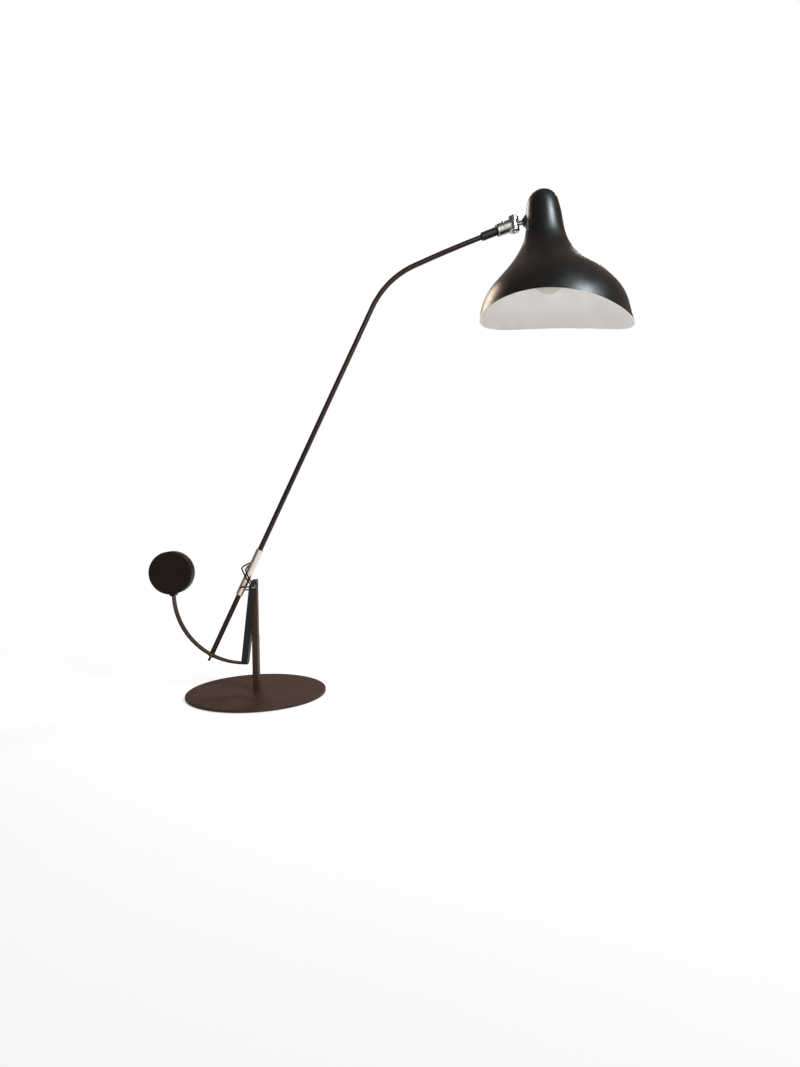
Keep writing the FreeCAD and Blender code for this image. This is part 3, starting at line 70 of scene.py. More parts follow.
# ---------------------------------------------------------------- material tools
class Graph:
    """A material under construction: its node tree, its shader and its surface coordinates."""

    def __init__(self, name):
        self.material = bpy.data.materials.new(name)
        self.material.use_nodes = True
        self.tree = self.material.node_tree
        self.shader = self.tree.nodes["Principled BSDF"]
        self.place = self.add("ShaderNodeTexCoord").outputs["Object"]

    def add(self, kind, **settings):
        """One node of a kind, with its plain settings."""
        made = self.tree.nodes.new(kind)
        for key, value in settings.items():
            setattr(made, key, value)
        return made

    def link(self, source, target):
        self.tree.links.new(source, target)

    def set(self, **values):
        """Plain numbers on the shader's own sockets; an underscore stands for a space."""
        for key, value in values.items():
            self.shader.inputs[key.replace("_", " ")].default_value = value

    def noise(self, scale, detail=3.0, roughness=0.5, place=None, distortion=0.0):
        made = self.add("ShaderNodeTexNoise")
        made.inputs["Scale"].default_value = scale
        made.inputs["Detail"].default_value = detail
        made.inputs["Roughness"].default_value = roughness
        made.inputs["Distortion"].default_value = distortion
        self.link(place or self.place, made.inputs["Vector"])
        return made.outputs["Fac"]

    def ramp(self, source, low, high, start, end):
        """source mapped from low..high to start..end, smoothly and clamped."""
        made = self.add("ShaderNodeMapRange", interpolation_type="SMOOTHSTEP")
        self.link(source, made.inputs["Value"])
        made.inputs["From Min"].default_value = low
        made.inputs["From Max"].default_value = high
        made.inputs["To Min"].default_value = start
        made.inputs["To Max"].default_value = end
        return made.outputs["Result"]

    def math(self, operation, first, second):
        made = self.add("ShaderNodeMath", operation=operation)
        for slot, value in enumerate((first, second)):
            if isinstance(value, (int, float)):
                made.inputs[slot].default_value = value
            else:
                self.link(value, made.inputs[slot])
        return made.outputs["Value"]

    def blend(self, factor, first, second):
        """Two colours, each a tuple or a socket, mixed by factor."""
        made = self.add("ShaderNodeMix", data_type="RGBA")
        self.link(factor, made.inputs[0])
        for slot, value in ((6, first), (7, second)):
            if isinstance(value, tuple):
                made.inputs[slot].default_value = (*value, 1.0)
            else:
                self.link(value, made.inputs[slot])
        return made.outputs[2]

    def turned(self, axis, through, stretch):
        """Coordinates across and along a turned part's axis, stretched so that noise runs in rings."""
        shift = self.add("ShaderNodeVectorMath", operation="SUBTRACT")
        self.link(self.place, shift.inputs[0])
        shift.inputs[1].default_value = through
        turn = self.add("ShaderNodeVectorRotate", rotation_type="EULER_XYZ", invert=True)
        turn.inputs["Rotation"].default_value = Vector(axis).to_track_quat("Z", "X").to_euler()
        self.link(shift.outputs[0], turn.inputs["Vector"])
        scaled = self.add("ShaderNodeVectorMath", operation="MULTIPLY")
        self.link(turn.outputs[0], scaled.inputs[0])
        scaled.inputs[1].default_value = stretch
        return scaled.outputs[0]

    def bump(self, height, strength, distance):
        made = self.add("ShaderNodeBump")
        made.inputs["Strength"].default_value = strength
        made.inputs["Distance"].default_value = distance
        self.link(height, made.inputs["Height"])
        self.link(made.outputs["Normal"], self.shader.inputs["Normal"])

    def colour(self, source):
        self.link(source, self.shader.inputs["Base Color"])

    def rough(self, source):
        self.link(source, self.shader.inputs["Roughness"])


def rubbed_lit_edges(g, reach):
    """A mask of the edges, broken up by a fine grain, where paint is rubbed thin and a painted highlight
    lightens it; reach is in metres.
    """
    soft = g.add("ShaderNodeBevel", samples=4)
    soft.inputs["Radius"].default_value = reach
    turn = g.add("ShaderNodeVectorMath", operation="DOT_PRODUCT")
    g.link(soft.outputs["Normal"], turn.inputs[0])
    g.link(g.add("ShaderNodeNewGeometry").outputs["Normal"], turn.inputs[1])
    sharp = g.ramp(g.math("SUBTRACT", 1.0, turn.outputs["Value"]), 0.04, 0.24, 0.0, 0.7)
    return g.math("MULTIPLY", sharp, g.ramp(g.noise(900.0, 4.0), 0.42, 0.66, 0.0, 1.0))


def enamel(name, dark, light, gloss, level, peel=0.00004, rubbed_lit_edge_colour=(0.075, 0.05, 0.036)):
    """Sprayed enamel: two close tones in slow clouds, orange peel, dust grains, and edges lightened as rubbed
    paint and as a painted highlight.
    """
    g = Graph(name)
    clouds = g.ramp(g.noise(14.0, 4.0, 0.6), 0.35, 0.68, 0.0, 1.0)
    tone = g.blend(clouds, dark, light)
    grain = g.ramp(g.noise(2600.0, 2.0), 0.62, 0.8, 0.0, 0.5)
    tone = g.blend(grain, tone, light)
    # Every edge is lightened: partly rubbed paint, partly a painted highlight.
    tone = g.blend(rubbed_lit_edges(g, 0.0004), tone, rubbed_lit_edge_colour)
    g.colour(tone)
    smears = g.noise(38.0, 5.0, 0.62)
    g.rough(g.ramp(smears, 0.3, 0.75, gloss - 0.05, gloss + 0.07))
    g.set(Specular_IOR_Level=level)
    skin = g.math("ADD", g.noise(620.0, 2.0), g.math("MULTIPLY", g.noise(2400.0, 2.0), 0.35))
    g.bump(skin, 0.6, peel)
    return g.material


def turned_metal(name, tone, shade, gloss, axis, through, strength=0.35, fine=5200.0):
    """Turned and plated metal: fine rings round its axis, with slow clouds in the plating."""
    g = Graph(name)
    rings = g.noise(1.0, 4.0, 0.6, g.turned(axis, through, (60.0, 60.0, fine)))
    clouds = g.noise(90.0, 4.0, 0.6)
    g.colour(g.blend(g.math("MULTIPLY", rings, clouds), shade, tone))
    wear = g.math("ADD", rings, g.math("MULTIPLY", clouds, 0.6))
    g.rough(g.ramp(wear, 0.5, 1.1, gloss - 0.06, gloss + 0.1))
    g.set(Metallic=1.0, Anisotropic=0.35)
    g.bump(rings, strength, 0.00003)
    return g.material


def cast_metal(name, tone, shade, gloss, grain=1500.0, depth=0.00003):
    """Plated metal with a fine drawn or tumbled grain and fingerprint-sized changes of gloss."""
    g = Graph(name)
    fine = g.noise(grain, 3.0, 0.55)
    clouds = g.noise(120.0, 4.0, 0.6)
    g.colour(g.blend(g.ramp(clouds, 0.3, 0.7, 0.0, 1.0), shade, tone))
    g.rough(g.ramp(clouds, 0.3, 0.72, gloss - 0.04, gloss + 0.08))
    g.set(Metallic=1.0)
    g.bump(fine, 0.35, depth)
    return g.material


def moulded(name, tone, light, gloss, grain=1800.0, depth=0.00005, level=0.4):
    """Moulded plastic or rubber: an even spark-eroded grain and slightly lighter high spots."""
    g = Graph(name)
    fine = g.noise(grain, 3.0, 0.6)
    g.colour(g.blend(g.ramp(fine, 0.45, 0.75, 0.0, 0.8), tone, light))
    g.rough(g.ramp(g.noise(160.0, 3.0), 0.3, 0.7, gloss - 0.05, gloss + 0.06))
    g.set(Specular_IOR_Level=level)
    g.bump(fine, 0.7, depth)
    return g.material


def lining(name):
    """The shade's inside: matt off-white enamel with a very soft mottle."""
    g = Graph(name)
    clouds = g.noise(26.0, 4.0, 0.6)
    g.colour(g.blend(g.ramp(clouds, 0.3, 0.7, 0.0, 1.0), (0.72, 0.70, 0.68), (0.77, 0.755, 0.74)))
    g.rough(g.ramp(g.noise(55.0, 3.0), 0.3, 0.7, 0.48, 0.6))
    g.set(Specular_IOR_Level=0.3)
    g.bump(g.noise(700.0, 2.0), 0.5, 0.00003)
    return g.material


def frosted(name):
    """The bulb's glass: white powder behind thin glass, painted down to a grey-pink as shade, a little denser
    here and there.
    """
    g = Graph(name)
    powder = g.noise(240.0, 5.0, 0.65)
    # The white powder is painted down to a grey-pink: painted shade.
    g.colour(g.blend(g.ramp(powder, 0.3, 0.72, 0.0, 1.0), (0.42, 0.375, 0.35), (0.49, 0.445, 0.42)))
    g.rough(g.ramp(powder, 0.3, 0.7, 0.28, 0.4))
    g.set(Specular_IOR_Level=0.5, Coat_Weight=0.25, Coat_Roughness=0.12)
    g.bump(g.noise(1500.0, 2.0), 0.4, 0.00002)
    return g.material


# ---------------------------------------------------------------- materials
LEAN = math.radians(25.86)
ARM_AXIS = (math.sin(LEAN), 0.0, math.cos(LEAN))
ARM_LINE = (-0.0165, 0.0, 0.157)
SWIVEL_AXIS = (0.93716, 0.0, 0.34890)
SWIVEL_LINE = (0.33325, 0.0, 0.65134)
KNUCKLE_AXIS = (-0.0766, 0.0235, 0.9968)
KNUCKLE_LINE = (0.37918, 0.0, 0.66843)
STEM_AXIS = (0.9535, -0.2904, 0.0801)
SHADE_AXIS = KNUCKLE_AXIS
SHADE_LINE = (0.41978, -0.01237, 0.66992)
CROWN_RADIUS = 0.016
FACES_IN = 0.12
FACES_DOWN = 0.2
BULB_LINE = (0.4261, -0.0143, 0.5882)

# The stand, carriage, disc, arm, strap and collar share one black enamel. These copies are tinted part by
# part to the tones that light gives each: the stand's and the strap's warm brown is a painted reflection, and
# the rest are the black in lit and shaded copies.
stand_paint_lit_brown = enamel("stand_enamel_lit_brown", (0.0290, 0.0125, 0.0085), (0.0345, 0.0150, 0.0100), 0.5, 0.16)
dark_paint = enamel("carriage_enamel", (0.0060, 0.0046, 0.0050), (0.0090, 0.0070, 0.0076), 0.46, 0.22)
disc_paint = enamel("weight_enamel", (0.0062, 0.0026, 0.0018), (0.0080, 0.0034, 0.0024), 0.5, 0.12)
tube_paint = enamel("arm_enamel", (0.0100, 0.0036, 0.0030), (0.0135, 0.0050, 0.0042), 0.38, 0.26)
shade_paint = enamel("shade_enamel", (0.0034, 0.0028, 0.0023), (0.0048, 0.0038, 0.0031), 0.34, 0.42, 0.00003,
                     (0.05, 0.036, 0.03))
strap_paint_lit_brown = enamel("strap_enamel_lit_brown", (0.0115, 0.0050, 0.0034), (0.0165, 0.0074, 0.0052), 0.46, 0.22)
collar_paint = enamel("collar_enamel", (0.0045, 0.0046, 0.0052), (0.0070, 0.0071, 0.0078), 0.34, 0.34)

NODE_MATERIALS = {
    "base_plate": stand_paint_lit_brown,
    "base_pad": moulded("pad_rubber", (0.016, 0.016, 0.016), (0.03, 0.03, 0.03), 0.8, 1100.0, 0.0001, 0.25),
    "foot_screws": cast_metal("foot_screw_zinc", (0.60, 0.60, 0.62), (0.46, 0.47, 0.50), 0.3),
    "post": stand_paint_lit_brown,
    "pivot_bolt": cast_metal("pivot_bolt_zinc", (0.40, 0.38, 0.36), (0.28, 0.27, 0.26), 0.32),
    "pivot_nut": cast_metal("pivot_nut_zinc", (0.42, 0.40, 0.38), (0.30, 0.29, 0.28), 0.34),
    "pivot_washers": moulded("friction_nylon", (0.05, 0.05, 0.05), (0.085, 0.085, 0.085), 0.55),
    "counterweight_leg": dark_paint,
    "counterweight_strap": strap_paint_lit_brown,
    "strap_eyelet": turned_metal("eyelet_brass", (0.70, 0.50, 0.24), (0.52, 0.35, 0.15), 0.26,
                                 ARM_AXIS, ARM_LINE),
    "counterweight_disc": disc_paint,
    "sleeve": turned_metal("sleeve_nickel", (0.82, 0.72, 0.65), (0.70, 0.60, 0.53), 0.30,
                           ARM_AXIS, ARM_LINE, 0.08),
    "sleeve_bush_lower": turned_metal("bush_brass", (0.68, 0.50, 0.26), (0.5, 0.35, 0.17), 0.28,
                                      ARM_AXIS, ARM_LINE),
    "sleeve_bush_upper": turned_metal("bush_brass_upper", (0.68, 0.50, 0.26), (0.5, 0.35, 0.17), 0.28,
                                      ARM_AXIS, ARM_LINE),
    "lower_stay": dark_paint,
    "upper_stay": dark_paint,
    "arm_tube": tube_paint,
    "arm_lead": moulded("lead_jacket", (0.018, 0.018, 0.018), (0.03, 0.03, 0.03), 0.5, 1500.0, 0.00004),
    "cable_gland": moulded("gland_rubber", (0.014, 0.013, 0.012), (0.026, 0.024, 0.023), 0.56, 1200.0,
                           0.00006),
    "arm_collar": collar_paint,
    "swivel_washer": moulded("swivel_nylon", (0.05, 0.05, 0.05), (0.085, 0.085, 0.085), 0.55),
    "swivel_clip": cast_metal("clip_steel", (0.5, 0.5, 0.52), (0.38, 0.38, 0.4), 0.28),
    "swivel_barrel": turned_metal("barrel_nickel", (0.54, 0.51, 0.475), (0.43, 0.405, 0.375), 0.27,
                                  SWIVEL_AXIS, SWIVEL_LINE, 0.1),
    "grip_screw": cast_metal("grip_screw_chrome", (0.78, 0.78, 0.79), (0.66, 0.66, 0.68), 0.14),
    "knuckle_fork": turned_metal("fork_chrome", (0.50, 0.505, 0.49), (0.40, 0.405, 0.395), 0.2,
                                 KNUCKLE_AXIS, KNUCKLE_LINE, 0.12),
    "knuckle_screw": cast_metal("knuckle_screw_chrome", (0.56, 0.56, 0.56), (0.45, 0.45, 0.46), 0.16),
    "knuckle_cap_nut": cast_metal("cap_nut_chrome", (0.56, 0.56, 0.56), (0.45, 0.45, 0.46), 0.16),
    "knuckle_washers": moulded("knuckle_nylon", (0.05, 0.05, 0.05), (0.085, 0.085, 0.085), 0.55),
    "knuckle_stem": turned_metal("stem_chrome", (0.60, 0.60, 0.61), (0.48, 0.48, 0.50), 0.16,
                                 STEM_AXIS, KNUCKLE_LINE, 0.12),
    "shade_boss": enamel("boss_enamel", (0.010, 0.008, 0.007), (0.015, 0.0115, 0.01), 0.4, 0.35),
    "shade": shade_paint,
    "neck_saddle": moulded("saddle_nylon", (0.05, 0.05, 0.05), (0.085, 0.085, 0.085), 0.55),
    "stem_nut": cast_metal("stem_nut_zinc", (0.60, 0.60, 0.62), (0.46, 0.47, 0.50), 0.3),
    "holder_bracket": cast_metal("bracket_zinc", (0.58, 0.58, 0.60), (0.44, 0.45, 0.48), 0.34),
    "holder_nut": moulded("holder_nut_plastic", (0.028, 0.028, 0.028), (0.05, 0.05, 0.05), 0.45),
    "lampholder": moulded("holder_plastic", (0.028, 0.028, 0.028), (0.05, 0.05, 0.05), 0.42),
    "lampholder_contact": cast_metal("contact_brass", (0.72, 0.54, 0.28), (0.56, 0.4, 0.2), 0.3),
    "head_lead": moulded("head_lead_jacket", (0.018, 0.018, 0.018), (0.03, 0.03, 0.03), 0.5, 1500.0, 0.00004),
    "bulb_cap": turned_metal("cap_nickel", (0.74, 0.72, 0.68), (0.60, 0.58, 0.54), 0.28,
                             KNUCKLE_AXIS, BULB_LINE),
    "bulb_tip": cast_metal("tip_solder", (0.60, 0.60, 0.58), (0.44, 0.44, 0.43), 0.35),
    "bulb_glass": frosted("bulb_frosted"),
}


def dress_nodes():
    """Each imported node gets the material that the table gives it."""
    for name, material in NODE_MATERIALS.items():
        mesh = nodes[name].data
        mesh.materials.clear()
        mesh.materials.append(material)


def line_shade():
    """The lining goes on each face that looks towards the shade's axis, or down from its crown."""
    mesh = nodes["shade"].data
    mesh.materials.append(lining("shade_lining"))
    axis = Vector(SHADE_AXIS)
    for face in mesh.polygons:
        out = face.center - Vector(SHADE_LINE)
        out -= out.dot(axis) * axis
        inwards = -face.normal.dot(out.normalized())
        down = -face.normal.dot(axis)
        crown = out.length < CROWN_RADIUS and down > FACES_DOWN
        face.material_index = 1 if inwards > FACES_IN or crown else 0


dress_nodes()
line_shade()


# ---------------------------------------------------------------- pieces made here
MM = 0.001
PIVOT = Vector((0.0, 0.0, 0.157))
EDGE_ROUND = 0.35
EDGE_ANGLE = math.radians(35.0)
WELD = 0.000001

# The pieces are drawn from the pivot, with lengths in mm and angles in radians.
POST_HALF = 4.0
POST_SIDE = 8.0
TONGUE_SIDE = 5.8
TONGUE_DROP = 72.6
POST_FOOT = -152.0
POST_TOP = 9.4
CORNER_CUT = 2.0
SLOT_SIDE = 5.9
SLOT_MARGIN = 0.4
HEAD_RECESS_RADIUS = 3.1
HEAD_RECESS_DEPTH = 2.45
EYE_RADIUS = 3.8
LEG_LEAN = math.radians(7.05)
LEG_WIDTH = 9.0
TOE_TILT = math.radians(2.7)
STRAP_CENTRE = (-15.5, -10.2)
STRAP_INSIDE = 101.0
ARM_OFFSET = 16.5
SLEEVE_RADIUS = 5.0
RAISED = math.radians(2.0)
LOWERED = math.radians(30.0)
WIRE_RADIUS = 1.1

# A wire's end, in shares of its radius: how wide it is left, and how far it reaches.
WIRE_END_SHARE = 0.55
WIRE_END_REACH = 0.6

CLIP_DROP = 3.7
CLIP_TILT = math.radians(-20.0)
CLIP_TAIL = 15.0
CLIP_BEND = 2.5
CROSSING_START = 1.7
CROSSING_KNEE = 14.3
CROSSING_TIP = (18.9, 26.4)
CROSSING_END = 36.0
CROSSING_BENDS = (6.0, 2.5, 2.5)

# Each crossing wire's shift along X: at its start, and where it passes the sleeve.
CROSSING_WIRES = ((0.0, 0.0), (2.75, 5.5))

FLARE_FOOT = 3.3
FLARE_SPREAD = 5.7
FLARE_CURVE = 2.2
FLARE_REACH = 5.5
FLARE_SIDE = 7.4
FLARE_STEPS = 8


def add_piece(name, shape, material, body, nodes_replaced=(), round_edges=EDGE_ROUND):
    """A closed mesh that rides on a body. round_edges is in mm, and 0 leaves its edges as they are."""
    bmesh.ops.recalc_face_normals(shape, faces=shape.faces)
    mesh = bpy.data.meshes.new(name)
    shape.to_mesh(mesh)
    shape.free()
    mesh.materials.append(material)
    piece = bpy.data.objects.new(name, mesh)
    scene.collection.objects.link(piece)
    if round_edges:
        bevel = piece.modifiers.new("round_edges", "BEVEL")
        bevel.width = round_edges * MM
        bevel.segments = 3
        bevel.limit_method = "ANGLE"
        bevel.angle_limit = EDGE_ANGLE
        bevel.harden_normals = True
    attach(piece, body)
    if nodes_replaced:
        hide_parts(*nodes_replaced)
    return piece


def prism(shape, outline, low, high, across="y"):
    """An outline of (x, z), or of (y, z) with across="x", seen from the pivot in mm, given a thickness."""
    rings = []
    for depth in (low, high):
        ring = []
        for first, second in outline:
            point = (first, depth, second) if across == "y" else (depth, first, second)
            ring.append(shape.verts.new(Vector(point) * MM + PIVOT))
        rings.append(ring)
    count = len(outline)
    shape.faces.new(rings[0])
    shape.faces.new(reversed(rings[1]))
    for i in range(count):
        after = (i + 1) % count
        shape.faces.new((rings[0][i], rings[0][after], rings[1][after], rings[1][i]))
    return shape


def disc_outline(radius, count=48):
    return [(radius * math.cos(2 * math.pi * i / count), radius * math.sin(2 * math.pi * i / count))
            for i in range(count)]


def carve(block, tools, operation="DIFFERENCE"):
    """The first shape with the others cut out of it, or joined to it, as one new shape."""
    made = []
    for number, shape in enumerate((block, *tools)):
        bmesh.ops.recalc_face_normals(shape, faces=shape.faces)
        mesh = bpy.data.meshes.new("carving_%d" % number)
        shape.to_mesh(mesh)
        shape.free()
        thing = bpy.data.objects.new(mesh.name, mesh)
        scene.collection.objects.link(thing)
        made.append(thing)
    for tool in made[1:]:
        cut = made[0].modifiers.new(tool.name, "BOOLEAN")
        cut.operation = operation
        cut.solver = "EXACT"
        cut.object = tool
    bpy.context.view_layer.update()
    whole = made[0].evaluated_get(bpy.context.evaluated_depsgraph_get())
    result = bmesh.new()
    result.from_mesh(whole.to_mesh())
    for thing in made:
        bpy.data.objects.remove(thing, do_unlink=True)
    bmesh.ops.remove_doubles(result, verts=result.verts, dist=WELD)
    return result


def make_post():
    """The post: a full bar below, milled on both sides to a tongue above, with one corner cut off."""
    side = [(-POST_SIDE, POST_FOOT), (POST_SIDE, POST_FOOT), (POST_SIDE, -TONGUE_DROP),
            (TONGUE_SIDE, -TONGUE_DROP), (TONGUE_SIDE, POST_TOP), (-TONGUE_SIDE, POST_TOP),
            (-TONGUE_SIDE, -TONGUE_DROP), (-POST_SIDE, -TONGUE_DROP)]
    bar = prism(bmesh.new(), side, -POST_HALF, POST_HALF, "x")
    corner = [(-POST_HALF - CORNER_CUT, POST_TOP - 2 * CORNER_CUT),
              (-POST_HALF + 2 * CORNER_CUT, POST_TOP + CORNER_CUT),
              (-POST_HALF - CORNER_CUT, POST_TOP + CORNER_CUT)]
    bar = carve(bar, [prism(bmesh.new(), corner, -POST_SIDE, POST_SIDE)])
    add_piece("post_bar", bar, stand_paint_lit_brown, "stand", ("post",))


def make_leg():
    """The leg: one deep bar from its toe to the pivot, where two thin cheeks straddle the post."""
    toe = (STRAP_CENTRE[0] - STRAP_INSIDE * math.sin(TOE_TILT),
           STRAP_CENTRE[1] - STRAP_INSIDE * math.cos(TOE_TILT))
    heel = (toe[0] + LEG_WIDTH * math.cos(TOE_TILT), toe[1] - LEG_WIDTH * math.sin(TOE_TILT))
    right = heel[0] - heel[1] * math.tan(LEG_LEAN)
    left = toe[0] - toe[1] * math.tan(LEG_LEAN)
    middle, reach = (left + right) / 2, (right - left) / 2
    outline = [toe, heel]
    for step in range(13):
        turn = math.pi * step / 12
        outline.append((middle + reach * math.cos(turn), reach * math.sin(turn)))
    bar = prism(bmesh.new(), outline, -POST_SIDE, POST_SIDE)
    eye = prism(bmesh.new(), disc_outline(EYE_RADIUS), -POST_SIDE, POST_SIDE)
    side = -POST_HALF - SLOT_MARGIN
    slot = [
        (side - TONGUE_DROP * math.tan(RAISED), -TONGUE_DROP),
        (side, -EYE_RADIUS),
        (side - 2 * SLEEVE_RADIUS * math.sin(LOWERED), 2 * SLEEVE_RADIUS * math.cos(LOWERED) - EYE_RADIUS),
        (-4 * POST_HALF, 4 * ARM_OFFSET),
        (4 * POST_HALF, 4 * ARM_OFFSET),
        (4 * POST_HALF, -TONGUE_DROP),
    ]
    tools = [prism(bmesh.new(), slot, -SLOT_SIDE, SLOT_SIDE)]
    floor, past = POST_SIDE - HEAD_RECESS_DEPTH, POST_SIDE + 1.0
    for low, high in ((-past, -floor), (floor, past)):
        tools.append(prism(bmesh.new(), disc_outline(HEAD_RECESS_RADIUS), low, high))
    whole = carve(carve(bar, [eye], "UNION"), tools)
    add_piece("leg_bar", whole, dark_paint, "carriage", ("counterweight_leg",), 0.3)


def rounded_path(points, radii, steps=10):
    """Points along straight runs that are joined by tangent arcs."""
    path = [points[0]]
    for i, radius in enumerate(radii, start=1):
        back = (points[i - 1] - points[i]).normalized()
        ahead = (points[i + 1] - points[i]).normalized()
        half = back.angle(ahead) / 2
        centre = points[i] + (back + ahead).normalized() * radius / math.sin(half)
        start = points[i] + back * radius / math.tan(half) - centre
        end = points[i] + ahead * radius / math.tan(half) - centre
        path += [centre + start.slerp(end, step / steps) for step in range(steps + 1)]
    path.append(points[-1])
    return path


def wire(shape, path, radius, sides=16):
    """A round wire along a path, in mm from the pivot, with its ends chamfered."""
    reach = radius * WIRE_END_REACH
    spine = [(path[0] + (path[0] - path[1]).normalized() * reach, WIRE_END_SHARE)]
    spine += [(point, 1.0) for point in path]
    spine.append((path[-1] + (path[-1] - path[-2]).normalized() * reach, WIRE_END_SHARE))
    across = (spine[1][0] - spine[0][0]).orthogonal().normalized()
    rings = []
    for i, (point, share) in enumerate(spine):
        ahead = (spine[min(i + 1, len(spine) - 1)][0] - spine[max(i - 1, 0)][0]).normalized()
        across = (across - across.dot(ahead) * ahead).normalized()
        other = ahead.cross(across)
        ring = []
        for k in range(sides):
            turn = 2 * math.pi * k / sides
            out = (math.cos(turn) * across + math.sin(turn) * other) * radius * share
            ring.append(shape.verts.new((point + out) * MM + PIVOT))
        rings.append(ring)
    shape.faces.new(reversed(rings[0]))
    shape.faces.new(rings[-1])
    for before, after in zip(rings, rings[1:]):
        for k in range(sides):
            face = shape.faces.new((before[k], before[(k + 1) % sides], after[(k + 1) % sides], after[k]))
            face.smooth = True
    return shape


def make_lower_stay():
    """A bent wire that clips round the sleeve, with its ends brazed to the leg's sides."""
    left = (SLEEVE_RADIUS + WIRE_RADIUS) / math.cos(LEAN)
    front = (SLEEVE_RADIUS + WIRE_RADIUS) / math.cos(CLIP_TILT)
    side = (POST_SIDE + WIRE_RADIUS) / math.cos(CLIP_TILT)
    half = [(-left, front), (0.0, front), (CLIP_BEND, side), (CLIP_TAIL, side)]
    flat = [Vector((x, -y, 0.0)) for x, y in reversed(half)] + [Vector((x, y, 0.0)) for x, y in half]
    bends = [CLIP_BEND, CLIP_BEND, SLEEVE_RADIUS, SLEEVE_RADIUS, CLIP_BEND, CLIP_BEND]
    centre = Vector((-ARM_OFFSET - CLIP_DROP * math.tan(LEAN), 0.0, -CLIP_DROP))
    turn = Matrix.Rotation(CLIP_TILT, 3, "X")
    path = [centre + turn @ point for point in rounded_path(flat, bends)]
    add_piece("lower_stay_wire", wire(bmesh.new(), path, WIRE_RADIUS), dark_paint, "carriage",
              ("lower_stay",), 0)


def make_upper_stay():
    """Two bent wires that start on the leg's front, cross before the sleeve and end behind it."""
    around = SLEEVE_RADIUS + WIRE_RADIUS
    beside = POST_SIDE + WIRE_RADIUS
    rise = CROSSING_KNEE * math.tan(LEAN)
    back, height = CROSSING_TIP
    pair = bmesh.new()
    for shift, near in CROSSING_WIRES:
        start = shift - CROSSING_START
        points = [Vector(p) for p in (
            (start, -beside, 0.0),
            (start - rise, -beside, CROSSING_KNEE),
            (near - back, -beside / 2, height - near / 3),
            (near - back + around / 4, around + shift / 3, height - near / 6 + around / 3),
            (-near / 5, around, CROSSING_END - near / 2),
        )]
        wire(pair, rounded_path(points, CROSSING_BENDS), WIRE_RADIUS)
    add_piece("upper_stay_wires", pair, dark_paint, "carriage", ("upper_stay",), 0)


def flat_length(point, centre):
    """How far a point is from a centre, seen along Y."""
    return math.hypot(point.x - centre.x, point.z - centre.z)


def make_weight_flare():
    """The disc's boss widens from the strap into the disc's edge."""
    points = [vertex.co for vertex in nodes["counterweight_disc"].data.vertices]
    thick = max(point.y for point in points)
    rim = [point for point in points if abs(abs(point.y) - thick) < 0.1 * MM]
    centre = sum(rim, Vector()) / len(rim)
    centre.y = 0.0
    reach = max(flat_length(point, centre) for point in points)
    foot = [point for point in points if flat_length(point, centre) > reach - MM]
    middle = sum(foot, Vector()) / len(foot)
    middle.y = 0.0
    out = (middle - centre).normalized()
    side = Vector((-out.z, 0.0, out.x))
    root = middle - out * FLARE_REACH * MM
    edges = []
    for step in range(FLARE_STEPS + 1):
        run = step / FLARE_STEPS
        edges.append((middle.lerp(root, run), side * (FLARE_FOOT + FLARE_SPREAD * run ** FLARE_CURVE) * MM))
    outline = [on + wide for on, wide in edges] + [on - wide for on, wide in reversed(edges)]
    flat = [((point.x - PIVOT.x) / MM, (point.z - PIVOT.z) / MM) for point in outline]
    add_piece("weight_flare", prism(bmesh.new(), flat, -FLARE_SIDE, FLARE_SIDE), disc_paint, "carriage")


make_post()
make_leg()
make_lower_stay()
make_upper_stay()
make_weight_flare()


# ---------------------------------------------------------------- studio
FLOOR_RADIUS = 40.0
WHITE_FLOOR = (0.35, 1.6, 0.62, 1.0)
ROOM_NEAR = (0.13, 0.11, 0.10, 1.0)
ROOM_BEHIND = (0.34, 0.25, 0.205, 1.0)
FILL_COLOUR = (1.0, 0.985, 0.97, 1.0)
FILL_STRENGTH = 0.60
WHITE = (1.0, 1.0, 1.0, 1.0)


def make_floor():
    """A wide pale floor. It keeps the lamp's shadow, and further out it turns as white as the backdrop."""
    mesh = bpy.data.meshes.new("floor")
    shape = bmesh.new()
    bmesh.ops.create_circle(shape, cap_ends=True, segments=96, radius=FLOOR_RADIUS)
    shape.to_mesh(mesh)
    shape.free()
    floor = bpy.data.objects.new("floor", mesh)
    scene.collection.objects.link(floor)
    g = Graph("floor_paper")
    g.colour(g.blend(g.noise(3.0, 3.0), (0.90, 0.895, 0.89), (0.93, 0.925, 0.92)))
    g.set(Roughness=0.9, Specular_IOR_Level=0.0)
    out = g.tree.nodes["Material Output"]
    glow = g.add("ShaderNodeEmission")
    glow.inputs["Color"].default_value = WHITE
    distance = g.add("ShaderNodeVectorMath", operation="LENGTH")
    g.link(g.add("ShaderNodeNewGeometry").outputs["Position"], distance.inputs[0])
    far = g.ramp(distance.outputs["Value"], *WHITE_FLOOR)
    path = g.add("ShaderNodeLightPath")
    seen = g.math("MAXIMUM", path.outputs["Is Camera Ray"], path.outputs["Is Glossy Ray"])
    seen = g.math("MAXIMUM", seen, path.outputs["Is Transmission Ray"])
    mix = g.add("ShaderNodeMixShader")
    g.link(g.math("MULTIPLY", far, seen), mix.inputs[0])
    g.link(g.shader.outputs[0], mix.inputs[1])
    g.link(glow.outputs[0], mix.inputs[2])
    g.link(mix.outputs[0], out.inputs["Surface"])
    mesh.materials.append(g.material)


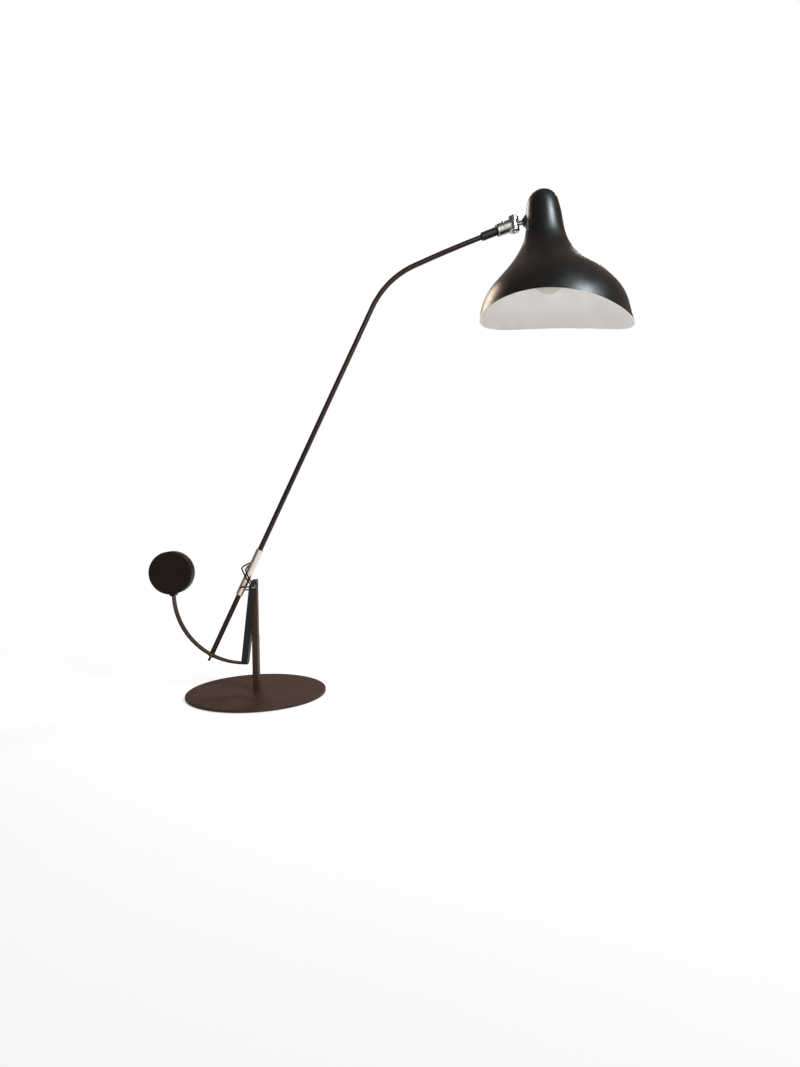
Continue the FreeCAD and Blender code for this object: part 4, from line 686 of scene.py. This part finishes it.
def make_world():
    """White to the camera, an even fill for the surfaces, and a dim warm room in the reflections."""
    world = bpy.data.worlds.new("studio")
    scene.world = world
    world.use_nodes = True
    tree = world.node_tree
    tree.nodes.clear()
    add, link = tree.nodes.new, tree.links.new
    direction = add("ShaderNodeTexCoord").outputs["Generated"]
    axes = add("ShaderNodeSeparateXYZ")
    link(direction, axes.inputs[0])
    behind = add("ShaderNodeMapRange")
    behind.interpolation_type = "SMOOTHSTEP"
    link(axes.outputs["Y"], behind.inputs["Value"])
    behind.inputs["From Min"].default_value = 0.1
    behind.inputs["From Max"].default_value = 1.0
    behind.inputs["To Min"].default_value = 0.0
    behind.inputs["To Max"].default_value = 1.0
    room = add("ShaderNodeMix")
    room.data_type = "RGBA"
    link(behind.outputs["Result"], room.inputs[0])
    room.inputs[6].default_value = ROOM_NEAR
    room.inputs[7].default_value = ROOM_BEHIND
    reflected = add("ShaderNodeBackground")
    link(room.outputs[2], reflected.inputs["Color"])
    fill = add("ShaderNodeBackground")
    fill.inputs["Color"].default_value = FILL_COLOUR
    fill.inputs["Strength"].default_value = FILL_STRENGTH
    white = add("ShaderNodeBackground")
    white.inputs["Color"].default_value = WHITE
    path = add("ShaderNodeLightPath")
    mirror = add("ShaderNodeMath")
    mirror.operation = "MAXIMUM"
    link(path.outputs["Is Glossy Ray"], mirror.inputs[0])
    link(path.outputs["Is Transmission Ray"], mirror.inputs[1])
    first = add("ShaderNodeMixShader")
    link(mirror.outputs[0], first.inputs[0])
    link(fill.outputs[0], first.inputs[1])
    link(reflected.outputs[0], first.inputs[2])
    second = add("ShaderNodeMixShader")
    link(path.outputs["Is Camera Ray"], second.inputs[0])
    link(first.outputs[0], second.inputs[1])
    link(white.outputs[0], second.inputs[2])
    out = add("ShaderNodeOutputWorld")
    link(second.outputs[0], out.inputs["Surface"])


def make_lamp(name, place, target, size, power, colour, spread=180.0):
    """One soft rectangular lamp, aimed at a point, with its spread in degrees."""
    data = bpy.data.lights.new(name, "AREA")
    data.shape = "RECTANGLE"
    data.size, data.size_y = size
    data.energy = power
    data.color = colour
    data.spread = math.radians(spread)
    lamp = bpy.data.objects.new(name, data)
    lamp.location = place
    lamp.rotation_mode = "QUATERNION"
    lamp.rotation_quaternion = (Vector(target) - Vector(place)).to_track_quat("-Z", "Y")
    scene.collection.objects.link(lamp)


make_camera()
make_floor()
make_world()
HEAD = (0.43, -0.01, 0.62)
BASE = (0.05, 0.0, 0.05)
COOL, WARM, WARMER = (0.80, 0.93, 1.0), (1.0, 0.84, 0.73), (1.0, 0.80, 0.64)
make_lamp("window", (1.34, -1.22, 1.28), HEAD, size=(0.62, 1.0), power=10.5, colour=COOL, spread=58.0)
make_lamp("key", (0.85, 1.35, 1.45), BASE, size=(0.45, 0.35), power=11.5, colour=WARM)
make_lamp("warm_wall", (-0.28, 0.90, 1.16), HEAD, size=(0.45, 0.5), power=2.0, colour=WARMER, spread=90.0)

scene.view_settings.view_transform = "Standard"
